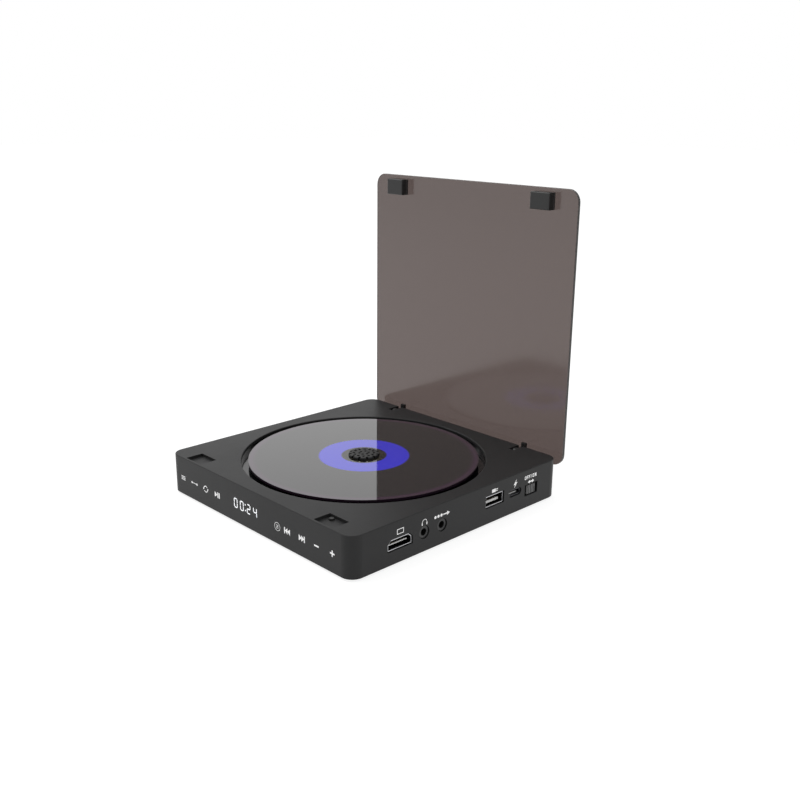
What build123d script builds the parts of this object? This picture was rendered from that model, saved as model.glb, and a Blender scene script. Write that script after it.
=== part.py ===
from build123d import *
import math
import os

# A small square disc player with a hinged smoked lid, shown open at 90 degrees.
# X runs to the right along the front, Y to the rear, Z up, in millimetres.
# The origin is on the resting plane, under the axis of the disc.

# Disc
DISC_DIAMETER = 120.0
DISC_THICKNESS = 1.2
DISC_HOLE_DIAMETER = 15.0

# Case, deck and the well that the disc lies in
CORNER_RADIUS = 6.5
WALL = 1.8
DECK_THICKNESS = 1.8
TOP_EDGE_RADIUS = 0.5
WELL_LIP_RADIUS = 0.5
BOTTOM_EDGE_CHAMFER = 0.3
DISC_SINK = 0.1
DISC_WELL_GAP = 3.6
DISC_UNDER_GAP = 2.4
WELL_WALL = 1.5
WELL_FLOOR = 1.6
WELL_WALL_GAP = 5.1
WELL_EAR_RADIUS = 3.2
WELL_EAR_THICKNESS = 1.4
WELL_EAR_BITE = 0.9
WELL_BOSS_GAP = 0.1
WELL_SCREW_RADIUS = 0.95
WELL_SCREW_HEAD = 1.8
WELL_SCREW_GRIP = 0.6

# Bottom cover, its feet and screws
COVER_THICKNESS = 1.8
COVER_GAP = 0.15
FOOT_HEIGHT = 1.0
FOOT_RADIUS = 6.0
FOOT_POCKET = 0.5
FOOT_INSET = 18.0
COVER_BOSS_RADIUS = 3.0
COVER_BOSS_SIDE_INSET = 8.0
COVER_BOSS_END_INSET = 12.0
COVER_SCREW_RADIUS = 1.1
COVER_SCREW_HEAD = 2.3
COVER_SCREW_HEAD_DEPTH = 1.0
COVER_SCREW_LENGTH = 7.0
SCREW_SOCKET_RADIUS = 0.8
SCREW_SOCKET_DEPTH = 0.6
SCREW_CLEARANCE = 0.03

# Touch keys and display behind the front wall
TOUCH_BOARD_THICKNESS = 1.0
TOUCH_BOARD_END_INSET = 6.0
TOUCH_BOARD_LOW = 3.0
TOUCH_BOARD_HIGH = 13.0
TOUCH_STANDOFF = 3.4
TOUCH_SPRING_RADIUS = 2.3
TOUCH_SPRING_WIRE = 0.5
TOUCH_FACE_GAP = 0.1
KEY_HEIGHT = 9.5
KEY_LEFT_INSETS = (11.5, 22.0, 32.4, 42.5)
KEY_RIGHT_INSETS = (51.9, 44.6, 33.6, 23.2, 12.4)
DISPLAY_CENTRE = -5.0
DISPLAY_WIDTH = 24.0
DISPLAY_LOW = 6.3
DISPLAY_HIGH = 14.4

# Main board at the right, on posts of the bottom cover
BOARD_THICKNESS = 1.6
BOARD_WIDTH = 45.0
BOARD_WALL_GAP = 1.2
BOARD_BOSS_GAP = 0.8
BOARD_POST_HEIGHT = 3.2
BOARD_POST_RADIUS = 2.6
BOARD_POST_INSET = 4.0
BOARD_MIDDLE_POST_Y = 3.0
BOARD_SCREW_RADIUS = 0.85
BOARD_SCREW_HEAD = 1.9
BOARD_SCREW_HEAD_HEIGHT = 1.1
BOARD_SCREW_DEPTH = 2.6
BAY_GAP = 1.1

# Sockets in the right wall; each rise is measured from the board's top
SOCKET_RECESS = 0.6
SOCKET_GAP = 0.45
SOCKET_SHEET = 0.3
SOCKET_DEPTH = 11.0
SOCKET_BACK = 2.0
VIDEO_BOSS_PITCH = 14.3
VIDEO_RISE = 0.6
VIDEO_WIDTH = 14.7
VIDEO_HEIGHT = 4.9
VIDEO_SHOULDER_HEIGHT = 3.2
VIDEO_TOP_WIDTH = 11.0
VIDEO_TONGUE_WIDTH = 11.6
VIDEO_TONGUE_THICKNESS = 0.5
VIDEO_TONGUE_RISE = 1.7
DATA_CHARGE_PITCH = 15.4
DATA_RISE = 2.3
DATA_WIDTH = 12.8
DATA_HEIGHT = 5.5
DATA_TONGUE_WIDTH = 9.0
DATA_TONGUE_THICKNESS = 1.2
DATA_TONGUE_RISE = 1.3
CHARGE_SWITCH_PITCH = 12.75
CHARGE_RISE = 3.0
CHARGE_WIDTH = 8.9
CHARGE_HEIGHT = 3.1
CHARGE_TONGUE_WIDTH = 6.6
CHARGE_TONGUE_THICKNESS = 0.5
CHARGE_TONGUE_RISE = 0.5
TONGUE_SETBACK = 1.5
VIDEO_JACK_PITCH = 15.2
JACK_PITCH = 11.8
JACK_RISE = 3.2
JACK_NOSE_RADIUS = 2.95
JACK_BORE_RADIUS = 1.8
JACK_BORE_DEPTH = 13.0
JACK_BODY_WIDTH = 6.6
JACK_BODY_LENGTH = 13.0
JACK_BODY_TOP = 2.9
JACK_WALL_GAP = 0.3

# Power slide switch in the right wall
SWITCH_BOSS_GAP = 2.15
SWITCH_RISE = 3.0
WINDOW_WIDTH = 10.1
WINDOW_HEIGHT = 6.1
KNOB_WIDTH = 6.6
KNOB_HEIGHT = 4.7
KNOB_RECESS = 0.2
KNOB_END_GAP = 1.6
KNOB_TRAVEL = 1.6
KNOB_RIB_COUNT = 5
KNOB_RIB_DEPTH = 0.5
KNOB_FLANGE = 0.9
KNOB_FLANGE_LAP = 0.8
KNOB_FLANGE_GAP = 0.15
KNOB_STEM = 2.0
KNOB_STEM_LENGTH = 2.4
KNOB_STEM_GAP = 0.1
SWITCH_BODY_DEPTH = 6.0
SWITCH_BODY_WIDTH = 10.0
SWITCH_BODY_TOP = 2.6

# Lid, its hinge and its blocks
LID_THICKNESS = 2.0
LID_BACK_GAP = 3.15
LID_TAIL = 3.0
LID_FRONT_LAP = 0.4
LID_EDGE_RADIUS = 0.4
HINGE_END_INSET = 4.0
HINGE_DROP = 3.4
HINGE_SIDE_INSET = 25.0
PIN_RADIUS = 1.0
PIN_RUNNING_GAP = 0.05
PIN_SEAT_GAP = 0.02
PIN_CHEEK = 2.2
BARREL_RADIUS = 3.0
BARREL_FLOOR_GAP = 0.6
ARM_WIDTH = 2.6
ARM_SIDE_GAP = 0.4
ARM_LOW = 1.9
ARM_HIGH = 2.1
ARM_HEEL_DEPTH = 1.8
ARM_HEEL_HIGH = 4.4
POCKET_FRONT_GAP = 0.25
POCKET_FLOOR = 1.2
SILL_GAP = 0.2
BLOCK_WIDTH = 12.0
BLOCK_LENGTH = 8.5
BLOCK_DEPTH = 4.95
BLOCK_END_INSET = 2.2
BLOCK_SIDE_INSET = 14.0
BLOCK_WALL = 1.2
BLOCK_EDGE_RADIUS = 0.5
MAGNET_DEPTH = 2.0
RECESS_GAP = 0.55
RECESS_DEPTH = 1.5
RECESS_PAD = 1.9
KEEPER_GAP = 0.2
KEEPER_THICKNESS = 0.8

# Lid switch whose small plunger stands in the right recess
PLUNGER_INSET_X = 3.2
PLUNGER_INSET_Y = 2.9
PLUNGER_RADIUS = 1.1
PLUNGER_GAP = 0.08
PLUNGER_RING = 0.4
PLUNGER_RING_DEPTH = 0.5
PLUNGER_FLANGE = 1.8
PLUNGER_FLANGE_THICKNESS = 0.7
PLUNGER_FLANGE_DROP = 0.3
PLUNGER_STAND = 0.8
PLUNGER_TAIL = 1.0
PLUNGER_TRAVEL = 0.6
LID_SWITCH_SIDE = 6.5
LID_SWITCH_FLOOR = 1.0
LID_SWITCH_SPARE = 0.4

# Disc drive: tray, rods, sled and spindle
SLED_GAP = 1.0
SLED_HEIGHT = 7.0
SLED_TRAY_GAP = 2.0
TRAY_THICKNESS = 1.5
TRAY_END_GAP = 0.6
TRAY_BOARD_GAP = 4.0
TRAY_HALF_DEPTH = 33.0
TRAY_CORNER = 2.0
EAR_RADIUS = 5.0
EAR_STAND = 4.0
EAR_LEFT_INSET = 23.6
EAR_RIGHT_INSET = 6.0
GROMMET_RADIUS = 3.6
GROMMET_WAIST = 2.7
GROMMET_LIP = 0.6
MOUNT_BOSS_RADIUS = 2.4
MOUNT_SCREW_RADIUS = 1.0
MOUNT_SCREW_HEAD = 2.4
MOUNT_SCREW_HEAD_HEIGHT = 0.9
MOUNT_SCREW_GRIP = 5.0
ROD_RADIUS = 1.5
ROD_SPACING = 40.0
ROD_RISE = 2.5
ROD_RUNNING_GAP = 0.03
ROD_SUPPORT = 2.2
ROD_SUPPORT_WIDTH = 6.0
ROD_SUPPORT_TOP = 1.2
ROD_RIGHT_END = -11.0
LENS_INNER_RADIUS = 24.0
LENS_RIM_GAP = 4.0
SLED_LEFT = 8.0
SLED_RIGHT = 7.0
SLED_SIDE_LAP = 3.4
SLED_WELL_FLOOR = 3.4
SLED_OPEN_SLOT_GAP = 0.06
LENS_HOLDER_LENGTH = 8.0
LENS_HOLDER_WIDTH = 13.0
LENS_HOLDER_HEIGHT = 5.0
LENS_HOLDER_RISE = 1.7
LENS_RADIUS = 2.2
LENS_HEIGHT = 1.0
LENS_STAND = 0.4
LENS_EDGE_SHARE = 0.9
LENS_SEAT_GAP = 0.01
FOCUS_SIDE_GAP = 0.8
MAGNET_THICKNESS = 1.6
LASER_RADIUS = 2.8
LASER_LENGTH = 4.0
SLOT_GAP = 1.0
NUT_LENGTH = 6.0
NUT_HALF_HEIGHT = 2.6
SCREW_RADIUS = 1.2
SCREW_RUNNING_GAP = 0.03
SCREW_OFFSET = 4.4
NUT_OUTER_LAP = 3.0
SCREW_LEFT_GAP = 0.8
BEARING_LENGTH = 2.4
BEARING_WIDTH = 7.0
BEARING_FLOOR = 0.6
SLED_MOTOR_LEFT = -14.0
SLED_MOTOR_LENGTH = 18.0
SLED_MOTOR_WIDTH = 9.0
SLED_MOTOR_TOP = 4.0
SLED_MOTOR_BORE_DEPTH = 3.0
SPINDLE_BASE_SIDE = 25.0
SPINDLE_BASE_THICKNESS = 1.0
BEARING_RADIUS = 2.5
BEARING_HEIGHT = 5.5
BEARING_THRUST = 0.4
SHAFT_RADIUS = 1.0
SHAFT_RUNNING_GAP = 0.03
SHAFT_END_GAP = 0.1
ROTOR_RADIUS = 12.0
ROTOR_WALL = 1.0
ROTOR_GAP = 0.5
STATOR_RADIUS = 10.0
STATOR_TEETH = 9
STATOR_SLOT = 1.6
STATOR_SLOT_DEPTH = 5.0
TURNTABLE_RADIUS = 15.0
TURNTABLE_THICKNESS = 2.5
TURNTABLE_BOSS_RADIUS = 3.6
TURNTABLE_GRIP = 1.5
TURNTABLE_HOLE_GAP = 2.0
PAD_WIDTH = 3.6
PAD_THICKNESS = 0.6
HUB_DISC_GAP = 0.2
HUB_LIP = 0.8
HUB_LIP_GAP = 0.12
HUB_RISE = 1.3
HUB_TEETH = 12
HUB_NOTCH_WIDTH = 1.2
HUB_NOTCH_REACH = 1.5
HUB_HOLE_RADIUS = 0.75
HUB_HOLE_DEPTH = 1.6
HUB_HOLE_INSET = 2.8
HUB_INNER_HOLES = 6
HUB_INNER_PITCH_RADIUS = 2.4

# Battery at the left rear and the flat leads
BATTERY_LENGTH = 58.0
BATTERY_HEIGHT = 8.0
BATTERY_BOSS_GAP = 3.0
BATTERY_EAR_GAP = 2.0
BATTERY_WALL_GAP = 4.2
BATTERY_FLOOR_GAP = 0.4
BATTERY_EDGE = 2.0
LEAD_THICKNESS = 0.3
LEAD_WIDTH = 6.0
LEAD_HEIGHT = 0.9
LEAD_LAP = 1.0

# Chips and capacitors on the main board, from its left front corner
PROCESSOR_SIDE = 14.0
PROCESSOR_PLACE = (14.0, 60.0)
MEMORY_SIZE = (8.0, 12.0)
MEMORY_PLACE = (14.0, 78.0)
DRIVER_SIDE = 9.0
DRIVER_PLACE = (12.0, 40.0)
CHIP_HEIGHT = 1.2
CAPACITOR_RADIUS = 2.5
CAPACITOR_HEIGHT = 5.4
CAPACITOR_PLACES = ((26.0, 30.0), (26.0, 38.0), (26.0, 88.0), (26.0, 96.0))

# Levels, from the resting plane up
Z_CASE = FOOT_HEIGHT
Z_COVER = Z_CASE + COVER_THICKNESS
Z_BOARD = Z_COVER + BOARD_POST_HEIGHT
Z_BOARD_TOP = Z_BOARD + BOARD_THICKNESS
Z_WELL_UNDER = Z_BOARD_TOP + DATA_RISE + DATA_HEIGHT + BAY_GAP
Z_WELL_FLOOR = Z_WELL_UNDER + WELL_FLOOR
Z_DISC = Z_WELL_FLOOR + DISC_UNDER_GAP
Z_DISC_TOP = Z_DISC + DISC_THICKNESS
Z_DECK = Z_DISC_TOP + DISC_SINK
Z_DECK_UNDER = Z_DECK - DECK_THICKNESS
Z_SLED_TOP = Z_WELL_UNDER - SLED_GAP
Z_SLED = Z_SLED_TOP - SLED_HEIGHT
Z_TRAY_TOP = Z_SLED - SLED_TRAY_GAP
Z_TRAY = Z_TRAY_TOP - TRAY_THICKNESS
Z_ROD = Z_SLED + ROD_RISE
Z_RECESS = Z_DECK - RECESS_DEPTH
Z_RECESS_PAD = Z_RECESS - RECESS_PAD
Z_HINGE = Z_DECK - HINGE_DROP
Z_KEYS = Z_CASE + KEY_HEIGHT

# Plan sizes that follow from the disc
DISC_RADIUS = DISC_DIAMETER / 2
WELL_RADIUS = DISC_RADIUS + DISC_WELL_GAP
WELL_OUTER = WELL_RADIUS + WELL_WALL
HALF_CASE = WELL_OUTER + WELL_WALL_GAP + WALL
CASE_SIDE = 2 * HALF_CASE
INNER_HALF = HALF_CASE - WALL
KEY_PLACES = [inset - HALF_CASE for inset in KEY_LEFT_INSETS]
KEY_PLACES += [HALF_CASE - inset for inset in KEY_RIGHT_INSETS]

# Places of the lid and hinge, open
HINGE_Y = HALF_CASE - HINGE_END_INSET
HINGE_X = HALF_CASE - HINGE_SIDE_INSET
LID_STANDOFF = HINGE_END_INSET + LID_BACK_GAP
LID_INNER_Y = HINGE_Y + LID_STANDOFF
LID_FOOT_Z = Z_HINGE - LID_TAIL
LID_LENGTH = LID_TAIL + HINGE_Y + HALF_CASE + LID_FRONT_LAP
LID_HEAD_Z = LID_FOOT_Z + LID_LENGTH
BLOCK_X = HALF_CASE - BLOCK_SIDE_INSET - BLOCK_WIDTH / 2
BLOCK_HIGH_Z = LID_HEAD_Z - BLOCK_END_INSET
BLOCK_LOW_Z = BLOCK_HIGH_Z - BLOCK_LENGTH
POCKET_HALF_WIDTH = ARM_WIDTH / 2 + ARM_SIDE_GAP
POCKET_FRONT = HINGE_Y - ARM_HEEL_HIGH - POCKET_FRONT_GAP
Z_POCKET = Z_HINGE - BARREL_RADIUS - BARREL_FLOOR_GAP
Z_SILL = Z_HINGE - ARM_LOW - SILL_GAP

# Places in plan that several pieces share
RECESS_FRONT = HINGE_Y - (BLOCK_HIGH_Z - Z_HINGE) - RECESS_GAP
RECESS_REAR = HINGE_Y - (BLOCK_LOW_Z - Z_HINGE) + RECESS_GAP
RECESS_HALF_WIDTH = BLOCK_WIDTH / 2 + RECESS_GAP
PLUNGER_X = BLOCK_X - PLUNGER_INSET_X
PLUNGER_Y = (RECESS_FRONT + RECESS_REAR) / 2 + PLUNGER_INSET_Y
WELL_BOSS_RADIUS = WELL_EAR_RADIUS - WELL_EAR_BITE - WELL_BOSS_GAP
COVER_BOSS_X = HALF_CASE - COVER_BOSS_SIDE_INSET
COVER_BOSS_Y = HALF_CASE - COVER_BOSS_END_INSET
COVER_BOSS_PLACES = [(x, y) for x in (-COVER_BOSS_X, COVER_BOSS_X) for y in (-COVER_BOSS_Y, COVER_BOSS_Y)]
FOOT_PLACE = HALF_CASE - FOOT_INSET
FOOT_PLACES = [(x, y) for x in (-FOOT_PLACE, FOOT_PLACE) for y in (-FOOT_PLACE, FOOT_PLACE)]
WELL_EAR_REACH = (WELL_OUTER + WELL_EAR_RADIUS - WELL_EAR_BITE) / math.sqrt(2)
WELL_EAR_PLACES = [
    (x, y) for x in (-WELL_EAR_REACH, WELL_EAR_REACH) for y in (-WELL_EAR_REACH, WELL_EAR_REACH)
]
BOARD_RIGHT = INNER_HALF - BOARD_WALL_GAP
BOARD_LEFT = BOARD_RIGHT - BOARD_WIDTH
BOARD_HALF_DEPTH = COVER_BOSS_Y - COVER_BOSS_RADIUS - BOARD_BOSS_GAP
BOARD_POST_LOW = BOARD_LEFT + BOARD_POST_INSET
BOARD_POST_END = BOARD_HALF_DEPTH - BOARD_POST_INSET
BOARD_POST_PLACES = (
    (BOARD_POST_LOW, -BOARD_POST_END),
    (BOARD_POST_LOW, BOARD_POST_END),
    (BOARD_RIGHT - BOARD_POST_INSET, BOARD_MIDDLE_POST_Y),
)
BOSS_END = COVER_BOSS_Y - COVER_BOSS_RADIUS
VIDEO_Y = VIDEO_BOSS_PITCH - BOSS_END
JACK_Y = VIDEO_Y + VIDEO_JACK_PITCH
LINE_JACK_Y = JACK_Y + JACK_PITCH
SWITCH_Y = BOSS_END - SWITCH_BOSS_GAP - SWITCH_BODY_WIDTH / 2
CHARGE_Y = SWITCH_Y - CHARGE_SWITCH_PITCH
DATA_Y = CHARGE_Y - DATA_CHARGE_PITCH
SOCKET_FRONT = HALF_CASE - SOCKET_RECESS
SOCKET_REAR = SOCKET_FRONT - SOCKET_DEPTH
TOUCH_BOARD_FRONT = -INNER_HALF + TOUCH_STANDOFF
KNOB_Y = SWITCH_Y - (WINDOW_WIDTH - KNOB_WIDTH) / 2 + KNOB_END_GAP
LENS_X = -LENS_INNER_RADIUS
LENS_OUTER_RADIUS = DISC_RADIUS - LENS_RIM_GAP
TRAY_LEFT = -INNER_HALF + TRAY_END_GAP
TRAY_RIGHT = BOARD_LEFT - TRAY_BOARD_GAP
EAR_Y = TRAY_HALF_DEPTH + EAR_STAND
EAR_PLACES = [
    (x, y) for x in (TRAY_LEFT + EAR_LEFT_INSET, TRAY_RIGHT - EAR_RIGHT_INSET) for y in (-EAR_Y, EAR_Y)
]
BATTERY_LEFT = -COVER_BOSS_X + COVER_BOSS_RADIUS + BATTERY_BOSS_GAP
BATTERY_RIGHT = BATTERY_LEFT + BATTERY_LENGTH
BATTERY_FRONT = EAR_Y + EAR_RADIUS + BATTERY_EAR_GAP
BATTERY_REAR = INNER_HALF - BATTERY_WALL_GAP
ROD_Y = ROD_SPACING / 2
SLED_HALF_DEPTH = ROD_Y + SLED_SIDE_LAP
SCREW_Y = -SLED_HALF_DEPTH - SCREW_OFFSET
TURNTABLE_HOLE = TURNTABLE_RADIUS + TURNTABLE_HOLE_GAP
Z_PAD = Z_DISC - PAD_THICKNESS
Z_TURNTABLE = Z_PAD - TURNTABLE_THICKNESS
Z_SPINDLE_BASE = Z_TRAY_TOP + SPINDLE_BASE_THICKNESS
Z_BEARING_TOP = Z_TRAY_TOP + BEARING_HEIGHT
Z_ROTOR = Z_SPINDLE_BASE + ROTOR_GAP
Z_ROTOR_TOP = Z_BEARING_TOP + ROTOR_GAP + ROTOR_WALL
Z_HOLDER = Z_SLED + SLED_WELL_FLOOR + LENS_HOLDER_RISE
Z_HOLDER_TOP = Z_HOLDER + LENS_HOLDER_HEIGHT
KNOB_OUTER = HALF_CASE - KNOB_RECESS
FLANGE_FRONT = INNER_HALF - KNOB_FLANGE_GAP
FLANGE_REAR = FLANGE_FRONT - KNOB_FLANGE
SWITCH_BODY_FRONT = FLANGE_REAR - KNOB_STEM_GAP
Z_SWITCH = Z_BOARD_TOP + SWITCH_RISE
Z_JACK = Z_BOARD_TOP + JACK_RISE


def box(x0, x1, y0, y1, z0, z1):
    """Box between two corners."""
    return Pos((x0 + x1) / 2, (y0 + y1) / 2, (z0 + z1) / 2) * Box(x1 - x0, y1 - y0, z1 - z0)


def post(x, y, z0, z1, radius):
    """Upright cylinder."""
    return Pos(x, y, (z0 + z1) / 2) * Cylinder(radius, z1 - z0)


def bar(x0, x1, y, z, radius):
    """Cylinder along X."""
    return Pos((x0 + x1) / 2, y, z) * Rot(0, 90, 0) * Cylinder(radius, x1 - x0)


def plate(side, corner, z0, z1):
    """Square plate with rounded corners, centred on the disc's axis."""
    return extrude(Pos(0, 0, z0) * RectangleRounded(side, side, corner), z1 - z0)


def face_prism(outline, y, z, x0, x1, grow=0.0):
    """Prism along X from a mouth outline in the plane of the right wall."""
    shape = offset(outline, amount=grow, kind=Kind.INTERSECTION) if grow else outline
    return extrude(Plane((x0, y, z), x_dir=(0, 1, 0), z_dir=(1, 0, 0)) * shape, x1 - x0)


def group(solids):
    """Separate solids that share one node."""
    return Compound(children=list(solids))


def video_outline():
    """Mouth of the video socket: shoulders step in towards the top."""
    half = VIDEO_WIDTH / 2
    top_half = VIDEO_TOP_WIDTH / 2
    low = -VIDEO_HEIGHT / 2
    shoulder = low + VIDEO_SHOULDER_HEIGHT
    high = VIDEO_HEIGHT / 2
    right = [(half, low), (half, shoulder), (top_half, high)]
    left = [(-across, up) for across, up in reversed(right)]
    return make_face(Polyline(*right, *left, close=True))


def data_outline():
    """Mouth of the data socket."""
    return Rectangle(DATA_WIDTH, DATA_HEIGHT)


def charge_outline():
    """Mouth of the charging socket, round at both ends."""
    return SlotOverall(CHARGE_WIDTH, CHARGE_HEIGHT)


SOCKETS = {
    "video": (video_outline, VIDEO_Y, Z_BOARD_TOP + VIDEO_RISE + VIDEO_HEIGHT / 2),
    "data": (data_outline, DATA_Y, Z_BOARD_TOP + DATA_RISE + DATA_HEIGHT / 2),
    "charge": (charge_outline, CHARGE_Y, Z_BOARD_TOP + CHARGE_RISE + CHARGE_HEIGHT / 2),
}


def socket_cut(name):
    """Opening in the right wall round one socket."""
    outline, y, z = SOCKETS[name]
    return face_prism(outline(), y, z, INNER_HALF, HALF_CASE, SOCKET_GAP)


def hinge_pocket(side):
    """Room for one hinge arm, open to the rear above the sill."""
    x = side * HINGE_X
    room = box(x - POCKET_HALF_WIDTH, x + POCKET_HALF_WIDTH, POCKET_FRONT, INNER_HALF, Z_POCKET, Z_DECK)
    mouth = box(x - POCKET_HALF_WIDTH, x + POCKET_HALF_WIDTH, INNER_HALF, HALF_CASE, Z_SILL, Z_DECK)
    pin_half = POCKET_HALF_WIDTH + PIN_CHEEK
    bore = bar(x - pin_half, x + pin_half, HINGE_Y, Z_HINGE, PIN_RADIUS + PIN_SEAT_GAP)
    return room + mouth + bore


def case_shell():
    """Walls and deck in one moulding, with its bosses, recesses and hinge pockets."""
    shell = plate(CASE_SIDE, CORNER_RADIUS, Z_CASE, Z_DECK)
    shell = fillet(shell.faces().sort_by(Axis.Z)[-1].edges(), TOP_EDGE_RADIUS)
    shell = chamfer(shell.faces().sort_by(Axis.Z)[0].edges(), BOTTOM_EDGE_CHAMFER)
    shell -= plate(2 * INNER_HALF, CORNER_RADIUS - WALL, Z_CASE, Z_DECK_UNDER)
    shell -= post(0, 0, Z_DECK_UNDER, Z_DECK, WELL_RADIUS)
    shell = fillet(shell.faces().sort_by(Axis.Z)[-1].inner_wires()[0].edges(), WELL_LIP_RADIUS)
    for x, y in COVER_BOSS_PLACES:
        shell += post(x, y, Z_COVER, Z_DECK_UNDER, COVER_BOSS_RADIUS)
    for x, y in WELL_EAR_PLACES:
        shell += post(x, y, Z_WELL_UNDER + WELL_EAR_THICKNESS, Z_DECK_UNDER, WELL_BOSS_RADIUS)
    for side in (-1, 1):
        x = side * HINGE_X
        half = POCKET_HALF_WIDTH + PIN_CHEEK
        front = POCKET_FRONT - WALL
        shell += box(x - half, x + half, front, INNER_HALF, Z_POCKET - POCKET_FLOOR, Z_DECK_UNDER)
        x = side * BLOCK_X
        half = RECESS_HALF_WIDTH
        shell += box(x - half, x + half, RECESS_FRONT, RECESS_REAR, Z_RECESS_PAD, Z_DECK_UNDER)
        shell -= box(x - half, x + half, RECESS_FRONT, RECESS_REAR, Z_RECESS, Z_DECK)
        shell -= hinge_pocket(side)
    for x, y in COVER_BOSS_PLACES:
        shell -= post(x, y, Z_COVER, Z_COVER + COVER_SCREW_LENGTH, COVER_SCREW_RADIUS + SCREW_CLEARANCE)
    for x, y in WELL_EAR_PLACES:
        low = Z_WELL_UNDER + WELL_EAR_THICKNESS
        shell -= post(x, y, low, Z_DECK_UNDER + WELL_SCREW_GRIP, WELL_SCREW_RADIUS + SCREW_CLEARANCE)
    shell -= post(PLUNGER_X, PLUNGER_Y, Z_RECESS_PAD, Z_RECESS, PLUNGER_RADIUS + PLUNGER_GAP)
    ring_low = Z_RECESS - PLUNGER_RING_DEPTH
    shell -= post(PLUNGER_X, PLUNGER_Y, ring_low, Z_RECESS, PLUNGER_RADIUS + PLUNGER_RING)
    for name in SOCKETS:
        shell -= socket_cut(name)
    for y in (JACK_Y, LINE_JACK_Y):
        shell -= bar(INNER_HALF, HALF_CASE, y, Z_JACK, JACK_NOSE_RADIUS + JACK_WALL_GAP)
    shell -= face_prism(Rectangle(WINDOW_WIDTH, WINDOW_HEIGHT), SWITCH_Y, Z_SWITCH, INNER_HALF, HALF_CASE)
    return shell


def lens_slot():
    """Slot in the well's floor that the lens looks through."""
    half_length = LENS_HOLDER_LENGTH / 2 + SLOT_GAP
    half_width = LENS_HOLDER_WIDTH / 2 + SLOT_GAP
    left = -LENS_OUTER_RADIUS - half_length
    right = -LENS_INNER_RADIUS + half_length
    return box(left, right, -half_width, half_width, Z_WELL_UNDER, Z_WELL_FLOOR)


def disc_well():
    """Round bowl under the deck, with bosses that the drive hangs from."""
    bowl = post(0, 0, Z_WELL_UNDER, Z_DECK_UNDER, WELL_OUTER)
    for x, y in WELL_EAR_PLACES:
        bowl += post(x, y, Z_WELL_UNDER, Z_WELL_UNDER + WELL_EAR_THICKNESS, WELL_EAR_RADIUS)
    bowl -= post(0, 0, Z_WELL_FLOOR, Z_DECK_UNDER, WELL_RADIUS)
    bowl -= post(0, 0, Z_WELL_UNDER, Z_WELL_FLOOR, TURNTABLE_HOLE)
    bowl -= lens_slot()
    for x, y in EAR_PLACES:
        bowl += post(x, y, Z_TRAY_TOP + GROMMET_LIP, Z_WELL_UNDER, MOUNT_BOSS_RADIUS)
        top = Z_TRAY_TOP + GROMMET_LIP + MOUNT_SCREW_GRIP
        bowl -= post(x, y, Z_TRAY_TOP + GROMMET_LIP, top, MOUNT_SCREW_RADIUS + SCREW_CLEARANCE)
    for x, y in WELL_EAR_PLACES:
        high = Z_WELL_UNDER + WELL_EAR_THICKNESS
        bowl -= post(x, y, Z_WELL_UNDER, high, WELL_SCREW_RADIUS + SCREW_CLEARANCE)
    return bowl


def screw(x, y, head_z, shank_z, head_radius, shank_radius, head_height):
    """Upright screw whose head's outer face is at head_z and whose tip is at shank_z."""
    up = 1 if shank_z > head_z else -1
    under_head = head_z + up * head_height
    head = post(x, y, min(head_z, under_head), max(head_z, under_head), head_radius)
    shank = post(x, y, min(head_z, shank_z), max(head_z, shank_z), shank_radius)
    socket_end = head_z + up * SCREW_SOCKET_DEPTH
    socket = post(x, y, min(head_z, socket_end), max(head_z, socket_end), SCREW_SOCKET_RADIUS)
    return head + shank - socket


def well_screws():
    """Four screws that hold the well up against the deck."""
    tip = Z_DECK_UNDER + WELL_SCREW_GRIP
    head = Z_WELL_UNDER - MOUNT_SCREW_HEAD_HEIGHT
    height = MOUNT_SCREW_HEAD_HEIGHT
    return group(
        screw(x, y, head, tip, WELL_SCREW_HEAD, WELL_SCREW_RADIUS, height) for x, y in WELL_EAR_PLACES
    )


def bottom_cover():
    """Flat cover inside the walls, with foot pockets and posts for the main board."""
    side = 2 * (INNER_HALF - COVER_GAP)
    cover = plate(side, CORNER_RADIUS - WALL - COVER_GAP, Z_CASE, Z_COVER)
    for x, y in FOOT_PLACES:
        cover -= post(x, y, Z_CASE, Z_CASE + FOOT_POCKET, FOOT_RADIUS)
    for x, y in COVER_BOSS_PLACES:
        cover -= post(x, y, Z_CASE, Z_CASE + COVER_SCREW_HEAD_DEPTH, COVER_SCREW_HEAD + SCREW_CLEARANCE)
        cover -= post(x, y, Z_CASE, Z_COVER, COVER_SCREW_RADIUS + SCREW_CLEARANCE)
    for x, y in BOARD_POST_PLACES:
        cover += post(x, y, Z_COVER, Z_BOARD, BOARD_POST_RADIUS)
        cover -= post(x, y, Z_BOARD - BOARD_SCREW_DEPTH, Z_BOARD, BOARD_SCREW_RADIUS + SCREW_CLEARANCE)
    return cover


def rubber_feet():
    """Four round feet glued in the cover's pockets."""
    return group(post(x, y, 0, Z_CASE + FOOT_POCKET, FOOT_RADIUS) for x, y in FOOT_PLACES)


def cover_screws():
    """Four screws through the cover into the case's bosses."""
    tip = Z_COVER + COVER_SCREW_LENGTH
    depth = COVER_SCREW_HEAD_DEPTH
    return group(
        screw(x, y, Z_CASE, tip, COVER_SCREW_HEAD, COVER_SCREW_RADIUS, depth) for x, y in COVER_BOSS_PLACES
    )


def touch_board():
    """Upright board behind the front wall."""
    half = INNER_HALF - TOUCH_BOARD_END_INSET
    rear = TOUCH_BOARD_FRONT + TOUCH_BOARD_THICKNESS
    return box(-half, half, TOUCH_BOARD_FRONT, rear, Z_CASE + TOUCH_BOARD_LOW, Z_CASE + TOUCH_BOARD_HIGH)


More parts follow.
